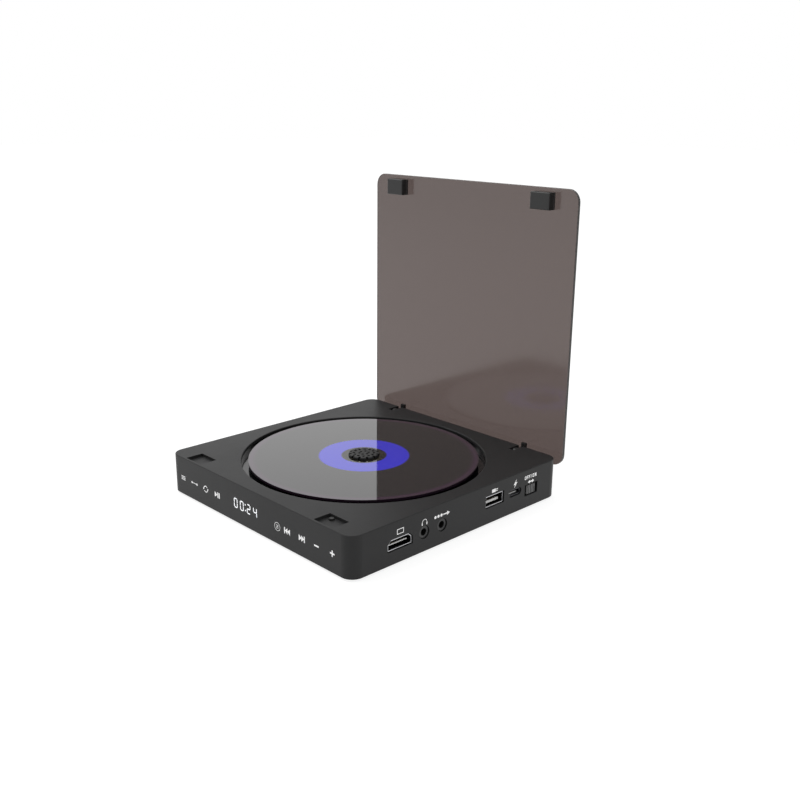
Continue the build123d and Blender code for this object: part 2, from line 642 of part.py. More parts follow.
def touch_springs():
    """Sensing coils, one behind each touch key, each as a thin sleeve from board to wall."""
    length = TOUCH_STANDOFF - TOUCH_FACE_GAP
    middle = TOUCH_BOARD_FRONT - length / 2
    ring = Cylinder(TOUCH_SPRING_RADIUS, length) - Cylinder(TOUCH_SPRING_RADIUS - TOUCH_SPRING_WIRE, length)
    return group(Pos(x, middle, Z_KEYS) * Rot(90, 0, 0) * ring for x in KEY_PLACES)


def display_module():
    """Lit digit block between the touch board and the front wall."""
    half = DISPLAY_WIDTH / 2
    front = -INNER_HALF + TOUCH_FACE_GAP
    return box(
        DISPLAY_CENTRE - half,
        DISPLAY_CENTRE + half,
        front,
        TOUCH_BOARD_FRONT,
        Z_CASE + DISPLAY_LOW,
        Z_CASE + DISPLAY_HIGH,
    )


def main_board():
    """Circuit board that carries the sockets."""
    board = box(BOARD_LEFT, BOARD_RIGHT, -BOARD_HALF_DEPTH, BOARD_HALF_DEPTH, Z_BOARD, Z_BOARD_TOP)
    for x, y in BOARD_POST_PLACES:
        board -= post(x, y, Z_BOARD, Z_BOARD_TOP, BOARD_SCREW_RADIUS + SCREW_CLEARANCE)
    return board


def board_screws():
    """Screws that hold the main board on its posts."""
    head = Z_BOARD_TOP + BOARD_SCREW_HEAD_HEIGHT
    tip = Z_BOARD - BOARD_SCREW_DEPTH
    height = BOARD_SCREW_HEAD_HEIGHT
    return group(
        screw(x, y, head, tip, BOARD_SCREW_HEAD, BOARD_SCREW_RADIUS, height) for x, y in BOARD_POST_PLACES
    )


def chip(place, width, depth):
    """Flat chip on the main board, placed from the board's left front corner."""
    x = BOARD_LEFT + place[0]
    y = -BOARD_HALF_DEPTH + place[1]
    high = Z_BOARD_TOP + CHIP_HEIGHT
    return box(x - width / 2, x + width / 2, y - depth / 2, y + depth / 2, Z_BOARD_TOP, high)


def board_capacitors():
    """Upright capacitors on the main board."""
    high = Z_BOARD_TOP + CAPACITOR_HEIGHT
    return group(
        post(BOARD_LEFT + x, -BOARD_HALF_DEPTH + y, Z_BOARD_TOP, high, CAPACITOR_RADIUS)
        for x, y in CAPACITOR_PLACES
    )


def socket_shell(name):
    """Sheet metal sleeve of one socket, open at both ends."""
    outline, y, z = SOCKETS[name]
    outer = face_prism(outline(), y, z, SOCKET_REAR, SOCKET_FRONT)
    return outer - face_prism(outline(), y, z, SOCKET_REAR, SOCKET_FRONT, -SOCKET_SHEET)


def socket_insulator(name, tongue_width, tongue_thickness, tongue_rise):
    """Plastic block behind a socket's sleeve, down to the board, with the contact tongue."""
    outline, y, z = SOCKETS[name]
    span = outline().bounding_box()
    half = span.size.Y / 2
    width = span.size.X / 2
    block = box(SOCKET_REAR - SOCKET_BACK, SOCKET_REAR, y - width, y + width, Z_BOARD_TOP, z + half)
    low = z - half + tongue_rise
    tip = SOCKET_FRONT - TONGUE_SETBACK
    tongue_half = tongue_width / 2
    return block + box(SOCKET_REAR, tip, y - tongue_half, y + tongue_half, low, low + tongue_thickness)


def jack(y):
    """Round socket whose nose stands in the right wall."""
    half = JACK_BODY_WIDTH / 2
    rear = INNER_HALF - JACK_BODY_LENGTH
    body = box(rear, INNER_HALF, y - half, y + half, Z_BOARD_TOP, Z_JACK + JACK_BODY_TOP)
    body += bar(INNER_HALF, SOCKET_FRONT, y, Z_JACK, JACK_NOSE_RADIUS)
    return body - bar(SOCKET_FRONT - JACK_BORE_DEPTH, SOCKET_FRONT, y, Z_JACK, JACK_BORE_RADIUS)


def switch_body():
    """Slide switch on the main board, with a slot for the knob's stem."""
    half = SWITCH_BODY_WIDTH / 2
    rear = SWITCH_BODY_FRONT - SWITCH_BODY_DEPTH
    body = box(
        rear, SWITCH_BODY_FRONT, SWITCH_Y - half, SWITCH_Y + half, Z_BOARD_TOP, Z_SWITCH + SWITCH_BODY_TOP
    )
    low = KNOB_Y - KNOB_STEM / 2 - KNOB_STEM_GAP
    high = KNOB_Y + KNOB_TRAVEL + KNOB_STEM / 2 + KNOB_STEM_GAP
    reach = KNOB_STEM / 2 + KNOB_STEM_GAP
    slot_rear = FLANGE_REAR - KNOB_STEM_LENGTH - KNOB_STEM_GAP
    return body - box(slot_rear, SWITCH_BODY_FRONT, low, high, Z_SWITCH - reach, Z_SWITCH + reach)


def power_knob():
    """Ribbed knob in the window, its flange behind the wall and its stem in the switch."""
    half = KNOB_WIDTH / 2
    tall = KNOB_HEIGHT / 2
    knob = box(FLANGE_FRONT, KNOB_OUTER, KNOB_Y - half, KNOB_Y + half, Z_SWITCH - tall, Z_SWITCH + tall)
    pitch = KNOB_WIDTH / KNOB_RIB_COUNT
    groove_floor = KNOB_OUTER - KNOB_RIB_DEPTH
    for step in range(KNOB_RIB_COUNT):
        y = KNOB_Y - half + (step + 0.5) * pitch
        low = y - pitch / 4
        high = y + pitch / 4
        knob -= box(groove_floor, KNOB_OUTER, low, high, Z_SWITCH - tall, Z_SWITCH + tall)
    flange_half = WINDOW_WIDTH / 2 + KNOB_FLANGE_LAP
    flange_tall = WINDOW_HEIGHT / 2 + KNOB_FLANGE_LAP
    flange_y = SWITCH_Y - KNOB_TRAVEL / 2
    knob += box(
        FLANGE_REAR,
        FLANGE_FRONT,
        flange_y - flange_half,
        flange_y + flange_half,
        Z_SWITCH - flange_tall,
        Z_SWITCH + flange_tall,
    )
    stem = KNOB_STEM / 2
    end = FLANGE_REAR - KNOB_STEM_LENGTH
    return knob + box(end, FLANGE_REAR, KNOB_Y - stem, KNOB_Y + stem, Z_SWITCH - stem, Z_SWITCH + stem)


def battery_pack():
    """Flat cell pack on the cover."""
    low = Z_COVER + BATTERY_FLOOR_GAP
    pack = box(BATTERY_LEFT, BATTERY_RIGHT, BATTERY_FRONT, BATTERY_REAR, low, low + BATTERY_HEIGHT)
    return fillet(pack.edges().filter_by(Axis.X), BATTERY_EDGE)


def flat_lead(x0, x1, y, z):
    """Flat lead between two pieces, lying level."""
    half = LEAD_WIDTH / 2
    return box(x0, x1, y - half, y + half, z, z + LEAD_THICKNESS)


def battery_lead():
    """Flat lead from the battery to the main board's underside."""
    y = BATTERY_FRONT + LEAD_WIDTH
    z = Z_BOARD - LEAD_THICKNESS
    return flat_lead(BATTERY_RIGHT, BOARD_LEFT + LEAD_LAP, y, z)


def drive_lead():
    """Flat lead from the drive's tray to the main board's underside."""
    z = Z_BOARD - LEAD_THICKNESS
    return flat_lead(TRAY_RIGHT, BOARD_LEFT + LEAD_LAP, 0, z)


def front_lead():
    """Flat lead from the back of the touch board to the front edge of the main board."""
    x = BOARD_LEFT + BOARD_WIDTH / 2
    half = LEAD_WIDTH / 2
    rear = TOUCH_BOARD_FRONT + TOUCH_BOARD_THICKNESS
    z = Z_BOARD + LEAD_HEIGHT
    return box(x - half, x + half, rear, -BOARD_HALF_DEPTH, z - LEAD_THICKNESS, z)


def mechanism_tray():
    """Tray of the disc drive, with rod supports and four ears."""
    tray = box(TRAY_LEFT, TRAY_RIGHT, -TRAY_HALF_DEPTH, TRAY_HALF_DEPTH, Z_TRAY, Z_TRAY_TOP)
    tray = fillet(tray.edges().filter_by(Axis.Z), TRAY_CORNER)
    for x, y in EAR_PLACES:
        side = 1 if y > 0 else -1
        root = side * (TRAY_HALF_DEPTH - EAR_RADIUS)
        tray += post(x, y, Z_TRAY, Z_TRAY_TOP, EAR_RADIUS)
        tray += box(x - EAR_RADIUS, x + EAR_RADIUS, min(root, y), max(root, y), Z_TRAY, Z_TRAY_TOP)
    for x, y in EAR_PLACES:
        tray -= post(x, y, Z_TRAY, Z_TRAY_TOP, GROMMET_WAIST)
    top = Z_ROD + ROD_RADIUS + ROD_SUPPORT_TOP
    half = ROD_SUPPORT_WIDTH / 2
    for y in (-ROD_Y, ROD_Y):
        for left in (TRAY_LEFT, ROD_RIGHT_END - ROD_SUPPORT):
            tray += box(left, left + ROD_SUPPORT, y - half, y + half, Z_TRAY_TOP, top)
        tray -= bar(TRAY_LEFT, ROD_RIGHT_END, y, Z_ROD, ROD_RADIUS + PIN_SEAT_GAP)
    tray -= post(0, 0, Z_TRAY, Z_TRAY_TOP, BEARING_RADIUS + PIN_SEAT_GAP)
    return tray


def guide_rods():
    """Two steel rods that the sled runs on."""
    return group(bar(TRAY_LEFT, ROD_RIGHT_END, y, Z_ROD, ROD_RADIUS) for y in (-ROD_Y, ROD_Y))


def damper_grommets():
    """Rubber bobbins in the tray's ears."""
    low = Z_TRAY - GROMMET_LIP
    high = Z_TRAY_TOP + GROMMET_LIP
    bobbins = []
    for x, y in EAR_PLACES:
        bobbin = post(x, y, low, high, GROMMET_WAIST)
        bobbin += post(x, y, low, Z_TRAY, GROMMET_RADIUS)
        bobbin += post(x, y, Z_TRAY_TOP, high, GROMMET_RADIUS)
        bobbin -= post(x, y, low, high, MOUNT_SCREW_RADIUS + SCREW_CLEARANCE)
        bobbins.append(bobbin)
    return group(bobbins)


def mechanism_screws():
    """Screws up through the grommets into the well's bosses."""
    tip = Z_TRAY_TOP + GROMMET_LIP + MOUNT_SCREW_GRIP
    head = Z_TRAY - GROMMET_LIP - MOUNT_SCREW_HEAD_HEIGHT
    height = MOUNT_SCREW_HEAD_HEIGHT
    return group(screw(x, y, head, tip, MOUNT_SCREW_HEAD, MOUNT_SCREW_RADIUS, height) for x, y in EAR_PLACES)


def spindle_base():
    """Steel plate that carries the spindle motor."""
    half = SPINDLE_BASE_SIDE / 2
    base = box(-half, half, -half, half, Z_TRAY_TOP, Z_SPINDLE_BASE)
    return base - post(0, 0, Z_TRAY_TOP, Z_SPINDLE_BASE, BEARING_RADIUS + PIN_SEAT_GAP)


def spindle_bearing():
    """Bronze sleeve of the spindle, closed below."""
    sleeve = post(0, 0, Z_TRAY, Z_BEARING_TOP, BEARING_RADIUS)
    return sleeve - post(0, 0, Z_TRAY + BEARING_THRUST, Z_BEARING_TOP, SHAFT_RADIUS + SHAFT_RUNNING_GAP)


def spindle_stator():
    """Wound stator with a slot between each pair of teeth."""
    low = Z_SPINDLE_BASE + ROTOR_GAP
    high = Z_BEARING_TOP - ROTOR_GAP
    stator = post(0, 0, low, high, STATOR_RADIUS) - post(0, 0, low, high, BEARING_RADIUS + PIN_SEAT_GAP)
    half = STATOR_SLOT / 2
    for step in range(STATOR_TEETH):
        slot = box(STATOR_RADIUS - STATOR_SLOT_DEPTH, STATOR_RADIUS + half, -half, half, low, high)
        stator -= Rot(0, 0, step * 360 / STATOR_TEETH) * slot
    return stator


def spindle_rotor():
    """Cup of the spindle motor with its shaft."""
    cup = post(0, 0, Z_ROTOR, Z_ROTOR_TOP, ROTOR_RADIUS)
    cup -= post(0, 0, Z_ROTOR, Z_ROTOR_TOP - ROTOR_WALL, ROTOR_RADIUS - ROTOR_WALL)
    low = Z_TRAY + BEARING_THRUST + SHAFT_END_GAP
    return cup + post(0, 0, low, Z_TURNTABLE + TURNTABLE_GRIP, SHAFT_RADIUS)


def turntable():
    """Round table on the shaft, with a boss down to the rotor."""
    table = post(0, 0, Z_TURNTABLE, Z_PAD, TURNTABLE_RADIUS)
    table += post(0, 0, Z_ROTOR_TOP, Z_TURNTABLE, TURNTABLE_BOSS_RADIUS)
    return table - post(0, 0, Z_ROTOR_TOP, Z_TURNTABLE + TURNTABLE_GRIP, SHAFT_RADIUS + PIN_SEAT_GAP)


def turntable_pad():
    """Rubber ring that the disc lies on."""
    pad = post(0, 0, Z_PAD, Z_DISC, TURNTABLE_RADIUS)
    return pad - post(0, 0, Z_PAD, Z_DISC, TURNTABLE_RADIUS - PAD_WIDTH)


def clamp_hub():
    """Hub in the disc's hole, with springy toothed lips that hold the disc down."""
    shaft = DISC_HOLE_DIAMETER / 2 - HUB_DISC_GAP
    top = Z_DISC_TOP + HUB_RISE
    lip_low = Z_DISC_TOP + HUB_LIP_GAP
    rim = shaft + HUB_LIP
    hub = post(0, 0, Z_PAD, top, shaft)
    lip = post(0, 0, lip_low, top, rim)
    hub += fillet(lip.faces().sort_by(Axis.Z)[-1].edges(), (top - lip_low) / 2)
    half = HUB_NOTCH_WIDTH / 2
    notch = box(rim - HUB_NOTCH_REACH, rim + half, -half, half, lip_low, top)
    hole = post(rim - HUB_HOLE_INSET, 0, top - HUB_HOLE_DEPTH, top, HUB_HOLE_RADIUS)
    for step in range(HUB_TEETH):
        hub -= Rot(0, 0, step * 360 / HUB_TEETH) * notch
        hub -= Rot(0, 0, (step + 0.5) * 360 / HUB_TEETH) * hole
    hole = post(HUB_INNER_PITCH_RADIUS, 0, top - HUB_HOLE_DEPTH, top, HUB_HOLE_RADIUS)
    for step in range(HUB_INNER_HOLES):
        hub -= Rot(0, 0, step * 360 / HUB_INNER_HOLES) * hole
    return hub


def disc():
    """Standard disc with its centre hole."""
    blank = post(0, 0, Z_DISC, Z_DISC_TOP, DISC_RADIUS)
    return blank - post(0, 0, Z_DISC, Z_DISC_TOP, DISC_HOLE_DIAMETER / 2)


def sled_body():
    """Moulded sled: a round eye on one rod, an open slot on the other, a well for the lens."""
    left = LENS_X - SLED_LEFT
    right = LENS_X + SLED_RIGHT
    sled = box(left, right, -SLED_HALF_DEPTH, SLED_HALF_DEPTH, Z_SLED, Z_SLED_TOP)
    well_half = LENS_HOLDER_WIDTH / 2 + FOCUS_SIDE_GAP + MAGNET_THICKNESS
    length = LENS_HOLDER_LENGTH / 2 + FOCUS_SIDE_GAP
    floor = Z_SLED + SLED_WELL_FLOOR
    sled -= box(LENS_X - length, LENS_X + length, -well_half, well_half, floor, Z_SLED_TOP)
    sled -= bar(left, right, ROD_Y, Z_ROD, ROD_RADIUS + ROD_RUNNING_GAP)
    reach = ROD_RADIUS + SLED_OPEN_SLOT_GAP
    sled -= box(left, right, -SLED_HALF_DEPTH, -ROD_Y + reach, Z_ROD - reach, Z_ROD + reach)
    sled -= post(LENS_X, 0, Z_SLED, floor, LASER_RADIUS + PIN_SEAT_GAP)
    return sled


def laser_unit():
    """Laser and sensor can under the lens."""
    low = Z_SLED + SLED_WELL_FLOOR - LASER_LENGTH
    return post(LENS_X, 0, low, Z_SLED + SLED_WELL_FLOOR, LASER_RADIUS)


def focus_magnets():
    """Two magnets, one at each side of the lens holder."""
    inner = LENS_HOLDER_WIDTH / 2 + FOCUS_SIDE_GAP
    half = LENS_HOLDER_LENGTH / 2
    floor = Z_SLED + SLED_WELL_FLOOR
    outer = inner + MAGNET_THICKNESS
    front = box(LENS_X - half, LENS_X + half, -outer, -inner, floor, Z_SLED_TOP)
    rear = box(LENS_X - half, LENS_X + half, inner, outer, floor, Z_SLED_TOP)
    return group([front, rear])


def lens_holder():
    """Lens holder, which floats over the sled's well."""
    half_length = LENS_HOLDER_LENGTH / 2
    half_width = LENS_HOLDER_WIDTH / 2
    holder = box(LENS_X - half_length, LENS_X + half_length, -half_width, half_width, Z_HOLDER, Z_HOLDER_TOP)
    holder -= post(LENS_X, 0, Z_HOLDER, Z_HOLDER_TOP, LENS_RADIUS - LENS_STAND)
    seat = Z_HOLDER_TOP + LENS_STAND - LENS_HEIGHT
    return holder - post(LENS_X, 0, seat, Z_HOLDER_TOP, LENS_RADIUS + LENS_SEAT_GAP)


def objective_lens():
    """Lens in the top of its holder."""
    top = Z_HOLDER_TOP + LENS_STAND
    lens = post(LENS_X, 0, top - LENS_HEIGHT, top, LENS_RADIUS)
    return fillet(lens.faces().sort_by(Axis.Z)[-1].edges(), LENS_STAND * LENS_EDGE_SHARE)


def sled_nut():
    """Nut on the sled's side, round the lead screw."""
    left = LENS_X - SLED_LEFT
    right = left + NUT_LENGTH
    low = SCREW_Y - NUT_OUTER_LAP
    nut = box(left, right, low, -SLED_HALF_DEPTH, Z_ROD - NUT_HALF_HEIGHT, Z_ROD + NUT_HALF_HEIGHT)
    return nut - bar(left, right, SCREW_Y, Z_ROD, SCREW_RADIUS + SCREW_RUNNING_GAP)


def lead_screw():
    """Screw that drives the sled, from its bearing into the motor."""
    left = TRAY_LEFT + SCREW_LEFT_GAP
    return bar(left, SLED_MOTOR_LEFT + SLED_MOTOR_BORE_DEPTH - SCREW_LEFT_GAP, SCREW_Y, Z_ROD, SCREW_RADIUS)


def screw_bearing():
    """Bearing block at the left end of the lead screw."""
    half = BEARING_WIDTH / 2
    top = Z_ROD + NUT_HALF_HEIGHT
    block = box(TRAY_LEFT, TRAY_LEFT + BEARING_LENGTH, SCREW_Y - half, SCREW_Y + half, Z_TRAY_TOP, top)
    left = TRAY_LEFT + BEARING_FLOOR
    return block - bar(left, TRAY_LEFT + BEARING_LENGTH, SCREW_Y, Z_ROD, SCREW_RADIUS + SCREW_RUNNING_GAP)


def sled_motor():
    """Motor that turns the lead screw."""
    half = SLED_MOTOR_WIDTH / 2
    right = SLED_MOTOR_LEFT + SLED_MOTOR_LENGTH
    motor = box(SLED_MOTOR_LEFT, right, SCREW_Y - half, SCREW_Y + half, Z_TRAY_TOP, Z_ROD + SLED_MOTOR_TOP)
    bore_end = SLED_MOTOR_LEFT + SLED_MOTOR_BORE_DEPTH
    return motor - bar(SLED_MOTOR_LEFT, bore_end, SCREW_Y, Z_ROD, SCREW_RADIUS + SCREW_RUNNING_GAP)


def lid_switch_body():
    """Switch under the right recess."""
    half = LID_SWITCH_SIDE / 2
    flange_low = Z_RECESS_PAD - PLUNGER_FLANGE_DROP - PLUNGER_FLANGE_THICKNESS
    floor = flange_low - PLUNGER_TAIL - PLUNGER_TRAVEL - LID_SWITCH_SPARE
    low = floor - LID_SWITCH_FLOOR
    body = box(PLUNGER_X - half, PLUNGER_X + half, PLUNGER_Y - half, PLUNGER_Y + half, low, Z_RECESS_PAD)
    return body - post(PLUNGER_X, PLUNGER_Y, floor, Z_RECESS_PAD, PLUNGER_FLANGE + LID_SWITCH_SPARE)


def lid_switch_plunger():
    """Small round plunger that the lid's right block presses."""
    flange_high = Z_RECESS_PAD - PLUNGER_FLANGE_DROP
    flange_low = flange_high - PLUNGER_FLANGE_THICKNESS
    stem = post(PLUNGER_X, PLUNGER_Y, flange_low - PLUNGER_TAIL, Z_RECESS + PLUNGER_STAND, PLUNGER_RADIUS)
    return stem + post(PLUNGER_X, PLUNGER_Y, flange_low, flange_high, PLUNGER_FLANGE)


def keeper_plates():
    """Steel plates under the outer part of each recess, which the lid's magnets hold to."""
    plates = []
    for side in (-1, 1):
        outer = side * (BLOCK_X + RECESS_HALF_WIDTH)
        inner = side * (PLUNGER_X + LID_SWITCH_SIDE / 2 + KEEPER_GAP)
        low = Z_RECESS_PAD - KEEPER_THICKNESS
        front = KEEPER_GAP - INNER_HALF
        plates.append(box(min(inner, outer), max(inner, outer), front, RECESS_REAR, low, Z_RECESS_PAD))
    return group(plates)


def hinge_pins():
    """Two steel pins in the cheeks of the hinge pockets."""
    half = POCKET_HALF_WIDTH + PIN_CHEEK
    return group(bar(x - half, x + half, HINGE_Y, Z_HINGE, PIN_RADIUS) for x in (-HINGE_X, HINGE_X))


def hinge_arm(side):
    """Arm from the pin to the lid's inner face."""
    left = side * HINGE_X - ARM_WIDTH / 2
    right = left + ARM_WIDTH
    arm = bar(left, right, HINGE_Y, Z_HINGE, BARREL_RADIUS)
    low = Z_HINGE - ARM_LOW
    arm += box(left, right, HINGE_Y, LID_INNER_Y, low, Z_HINGE + ARM_HIGH)
    arm += box(left, right, LID_INNER_Y - ARM_HEEL_DEPTH, LID_INNER_Y, low, Z_HINGE + ARM_HEEL_HIGH)
    return arm - bar(left, right, HINGE_Y, Z_HINGE, PIN_RADIUS + PIN_RUNNING_GAP)


def lid_plate():
    """Smoked clear sheet, upright behind the case."""
    outline = RectangleRounded(CASE_SIDE, LID_LENGTH, CORNER_RADIUS)
    middle = (LID_FOOT_Z + LID_HEAD_Z) / 2
    standing = Plane((0, LID_INNER_Y, middle), x_dir=(1, 0, 0), z_dir=(0, -1, 0))
    sheet = extrude(standing * outline, -LID_THICKNESS)
    faces = sheet.faces().sort_by(Axis.Y)
    return fillet(faces[0].edges() + faces[-1].edges(), LID_EDGE_RADIUS)


def lid_block(side):
    """Hollow block near the lid's free edge."""
    x = side * BLOCK_X
    half = BLOCK_WIDTH / 2
    front = LID_INNER_Y - BLOCK_DEPTH
    block = box(x - half, x + half, front, LID_INNER_Y, BLOCK_LOW_Z, BLOCK_HIGH_Z)
    block = fillet(block.faces().sort_by(Axis.Y)[0].edges(), BLOCK_EDGE_RADIUS)
    rear = front + BLOCK_WALL + MAGNET_DEPTH
    return block - box(
        x - half + BLOCK_WALL,
        x + half - BLOCK_WALL,
        front + BLOCK_WALL,
        rear,
        BLOCK_LOW_Z + BLOCK_WALL,
        BLOCK_HIGH_Z - BLOCK_WALL,
    )


def block_magnets():
    """Magnets inside the lid's blocks."""
    half = BLOCK_WIDTH / 2 - BLOCK_WALL
    front = LID_INNER_Y - BLOCK_DEPTH + BLOCK_WALL
    low = BLOCK_LOW_Z + BLOCK_WALL
    high = BLOCK_HIGH_Z - BLOCK_WALL
    return group(box(x - half, x + half, front, front + MAGNET_DEPTH, low, high) for x in (-BLOCK_X, BLOCK_X))


PARTS = {
    "case_shell": case_shell(),
    "disc_well": disc_well(),
    "well_screws": well_screws(),
    "bottom_cover": bottom_cover(),
    "rubber_feet": rubber_feet(),
    "cover_screws": cover_screws(),
    "touch_board": touch_board(),
    "touch_springs": touch_springs(),
    "display_module": display_module(),
    "main_board": main_board(),
    "board_screws": board_screws(),
    "main_processor": chip(PROCESSOR_PLACE, PROCESSOR_SIDE, PROCESSOR_SIDE),
    "memory_chip": chip(MEMORY_PLACE, *MEMORY_SIZE),
    "motor_driver_chip": chip(DRIVER_PLACE, DRIVER_SIDE, DRIVER_SIDE),
    "board_capacitors": board_capacitors(),
    "video_socket_shell": socket_shell("video"),
    "video_socket_insulator": socket_insulator(
        "video", VIDEO_TONGUE_WIDTH, VIDEO_TONGUE_THICKNESS, VIDEO_TONGUE_RISE
    ),
    "data_socket_shell": socket_shell("data"),
    "data_socket_insulator": socket_insulator(
        "data", DATA_TONGUE_WIDTH, DATA_TONGUE_THICKNESS, DATA_TONGUE_RISE
    ),
    "charge_socket_shell": socket_shell("charge"),
    "charge_socket_insulator": socket_insulator(
        "charge", CHARGE_TONGUE_WIDTH, CHARGE_TONGUE_THICKNESS, CHARGE_TONGUE_RISE
    ),
    "headphone_jack": jack(JACK_Y),
    "line_jack": jack(LINE_JACK_Y),
    "switch_body": switch_body(),
    "power_knob": power_knob(),
    "battery_pack": battery_pack(),
    "battery_lead": battery_lead(),
    "drive_lead": drive_lead(),
    "front_lead": front_lead(),
    "mechanism_tray": mechanism_tray(),
    "guide_rods": guide_rods(),
    "damper_grommets": damper_grommets(),
    "mechanism_screws": mechanism_screws(),
    "spindle_base": spindle_base(),
    "spindle_bearing": spindle_bearing(),
    "spindle_stator": spindle_stator(),
    "spindle_rotor": spindle_rotor(),
    "turntable": turntable(),
    "turntable_pad": turntable_pad(),
    "clamp_hub": clamp_hub(),
    "disc": disc(),
    "sled_body": sled_body(),
    "laser_unit": laser_unit(),
    "focus_magnets": focus_magnets(),
    "lens_holder": lens_holder(),
    "objective_lens": objective_lens(),
    "sled_nut": sled_nut(),
    "lead_screw": lead_screw(),
    "screw_bearing": screw_bearing(),
    "sled_motor": sled_motor(),
    "lid_switch_body": lid_switch_body(),
    "lid_switch_plunger": lid_switch_plunger(),
    "keeper_plates": keeper_plates(),
    "hinge_pins": hinge_pins(),
    "hinge_arm_left": hinge_arm(-1),
    "hinge_arm_right": hinge_arm(1),
    "lid_plate": lid_plate(),
    "lid_block_left": lid_block(-1),
    "lid_block_right": lid_block(1),
    "block_magnets": block_magnets(),
}

os.makedirs("parts", exist_ok=True)
for name, shape in PARTS.items():
    export_step(shape, f"parts/{name}.step")
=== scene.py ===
"""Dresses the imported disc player: camera, studio, materials, printed signs and small metal details."""
import math

import bmesh
import bpy
from mathutils import Matrix, Vector


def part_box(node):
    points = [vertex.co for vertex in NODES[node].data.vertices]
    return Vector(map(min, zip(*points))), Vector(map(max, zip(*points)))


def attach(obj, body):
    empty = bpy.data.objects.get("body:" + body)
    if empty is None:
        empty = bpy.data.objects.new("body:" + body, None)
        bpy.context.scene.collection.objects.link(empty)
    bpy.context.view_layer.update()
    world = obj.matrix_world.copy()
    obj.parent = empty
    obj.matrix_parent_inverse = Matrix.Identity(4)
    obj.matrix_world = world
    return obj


MM = 0.001
WHITE = (1.0, 1.0, 1.0, 1.0)

# Sockets of a colour mix node, by their place
MIX_SHARE = 0
MIX_FIRST = 6
MIX_SECOND = 7
MIX_RESULT = 2

# Camera at the photograph's angle
CAMERA_RIGHT = Vector((0.6935886, 0.7203130, 0.0091689))
CAMERA_UP = Vector((-0.2193351, 0.1990396, 0.9551311))
CAMERA_AHEAD = Vector((-0.6861683, 0.6644791, -0.2960415))
CAMERA_PLACE = Vector((0.351693, -0.314708, 0.198144))
CAMERA_LENS = 43.154
CLIP_NEAR = 0.01
CLIP_FAR = 20.0

# Studio
FLOOR_HALF = 4.0
FLOOR_SEEN_COLOR = (0.34, 0.34, 0.34, 1.0)
FLOOR_SEEN_GLOW = 0.84
FLOOR_BOUNCE_COLOR = (0.8, 0.8, 0.8, 1.0)
WORLD_FILL = 0.72
DARK_CARD_WAY = (0.73, -0.68, 0.05)
DARK_CARD_EDGE = 0.55
DARK_CARD_MIDDLE = 0.97
DARK_CARD_LEVEL = 0.05
LAMP_SIZE = 0.9
LAMP_POWER = 4.2
LAMP_PLACE = Vector((-0.55, -0.25, 1.05))
LAMP_TARGET = Vector((0.0, 0.0, 0.02))

# Half the width of the case, and how far print stands out from it
CASE_HALF = 72.0 * MM
INK_RISE = 0.01 * MM

# Edge wear with a painted edge highlight: width of the lightened edge, how bent the surface is there, and how
# much lighter it gets
WORN_AND_HIGHLIT_EDGE = 0.35 * MM
EDGE_BENT = 0.9
EDGE_FLAT = 0.99
EDGE_SAMPLES = 4
WORN_AND_HIGHLIGHT_LIGHTER = 3.5

# Which part of a noise's 0 to 1 counts, for each use
NOISE_MIDDLE = (0.3, 0.7)
SPECK_RANGE = (0.35, 0.75)
WEAR_AND_HIGHLIGHT_RANGE = (0.35, 0.7)
SPOT_RANGE = (0.6, 0.75)
WIPE_RANGE = (0.45, 0.8)
MOTTLE_RANGE = (0.4, 0.6)
HAZE_RANGE = (0.3, 0.75)
STRIPE_RANGE = (0.35, 0.65)
GRIME_RANGE = (0.4, 0.8)
INK_RANGE = (0.2, 0.8)

# How much of a change of tone or gloss the noises make
SPECK_SHARE = 0.5
SPECK_GAIN = 2.5
WEAR_AND_HIGHLIGHT_LEAST = 0.2
LINE_DARK = 0.86
LINE_LIGHT = 1.1
SPOT_DARK = 0.45
GRIME_SHARE = 0.25
GRIME_DARK = 0.6
INK_THIN = 0.92
FINE_GLOSS = 0.2

# From where to where a face turns into an underside, by the upward part of its normal
UNDERSIDE = (-0.5, -0.6)

# Depth of the relief in grained, drawn and wound surfaces
GRAIN_DEPTH = 0.02 * MM
DRAWN_DEPTH = 0.01 * MM
WEAVE_DEPTH = 0.05 * MM

# Contacts on the socket tongues: count, pitch, width, and the levels of the tongue's two faces
TONGUE_ROWS_VIDEO = (9, 1.1 * MM, 0.5 * MM, 9.9 * MM, 10.4 * MM)
TONGUE_ROWS_DATA = (4, 2.2 * MM, 1.1 * MM, 11.2 * MM, 12.4 * MM)
TONGUE_ROWS_CHARGE = (10, 0.55 * MM, 0.28 * MM, 11.1 * MM, 11.6 * MM)
CONTACT_LENGTH = 7.5 * MM
CONTACT_SETBACK = 0.6 * MM
CONTACT_RISE = 0.03 * MM
SLAB_BEVEL = 0.008 * MM
# Pale bands round the lid blocks: where they start and end, in from the blocks' high y face, and how far they
# stand out
BAND_NEAR = 0.75 * MM
BAND_FAR = 1.1 * MM
BAND_RISE = 0.02 * MM

# Painted shade in the openings of the right wall: where pieces turn dark, by their distance from the middle
# of the case
SHELL_MOUTH = 71.1 * MM
TONGUE_MOUTH = 69.5 * MM
KNOB_MOUTH = 71.65 * MM
JACK_MOUTH = 71.3 * MM
MOUTH_SOFT = 0.15 * MM
INSIDE_PAINTED_SHADE = 0.12

# Rings of the disc's face, by their inner and outer radius, and how softly they end
CLEAR_RING = (7.0 * MM, 11.7 * MM)
BLUE_RING = (11.7 * MM, 23.6 * MM)
PLUM_RING = (57.2 * MM, 59.6 * MM)
STACKING_RING = (16.9 * MM, 17.4 * MM)
WRITTEN_RING = (22.0 * MM, 58.0 * MM)
SHARP_END = 0.05 * MM
PRINT_END = 0.5 * MM
RIDGE_END = 0.15 * MM
PLUM_END = 1.2 * MM

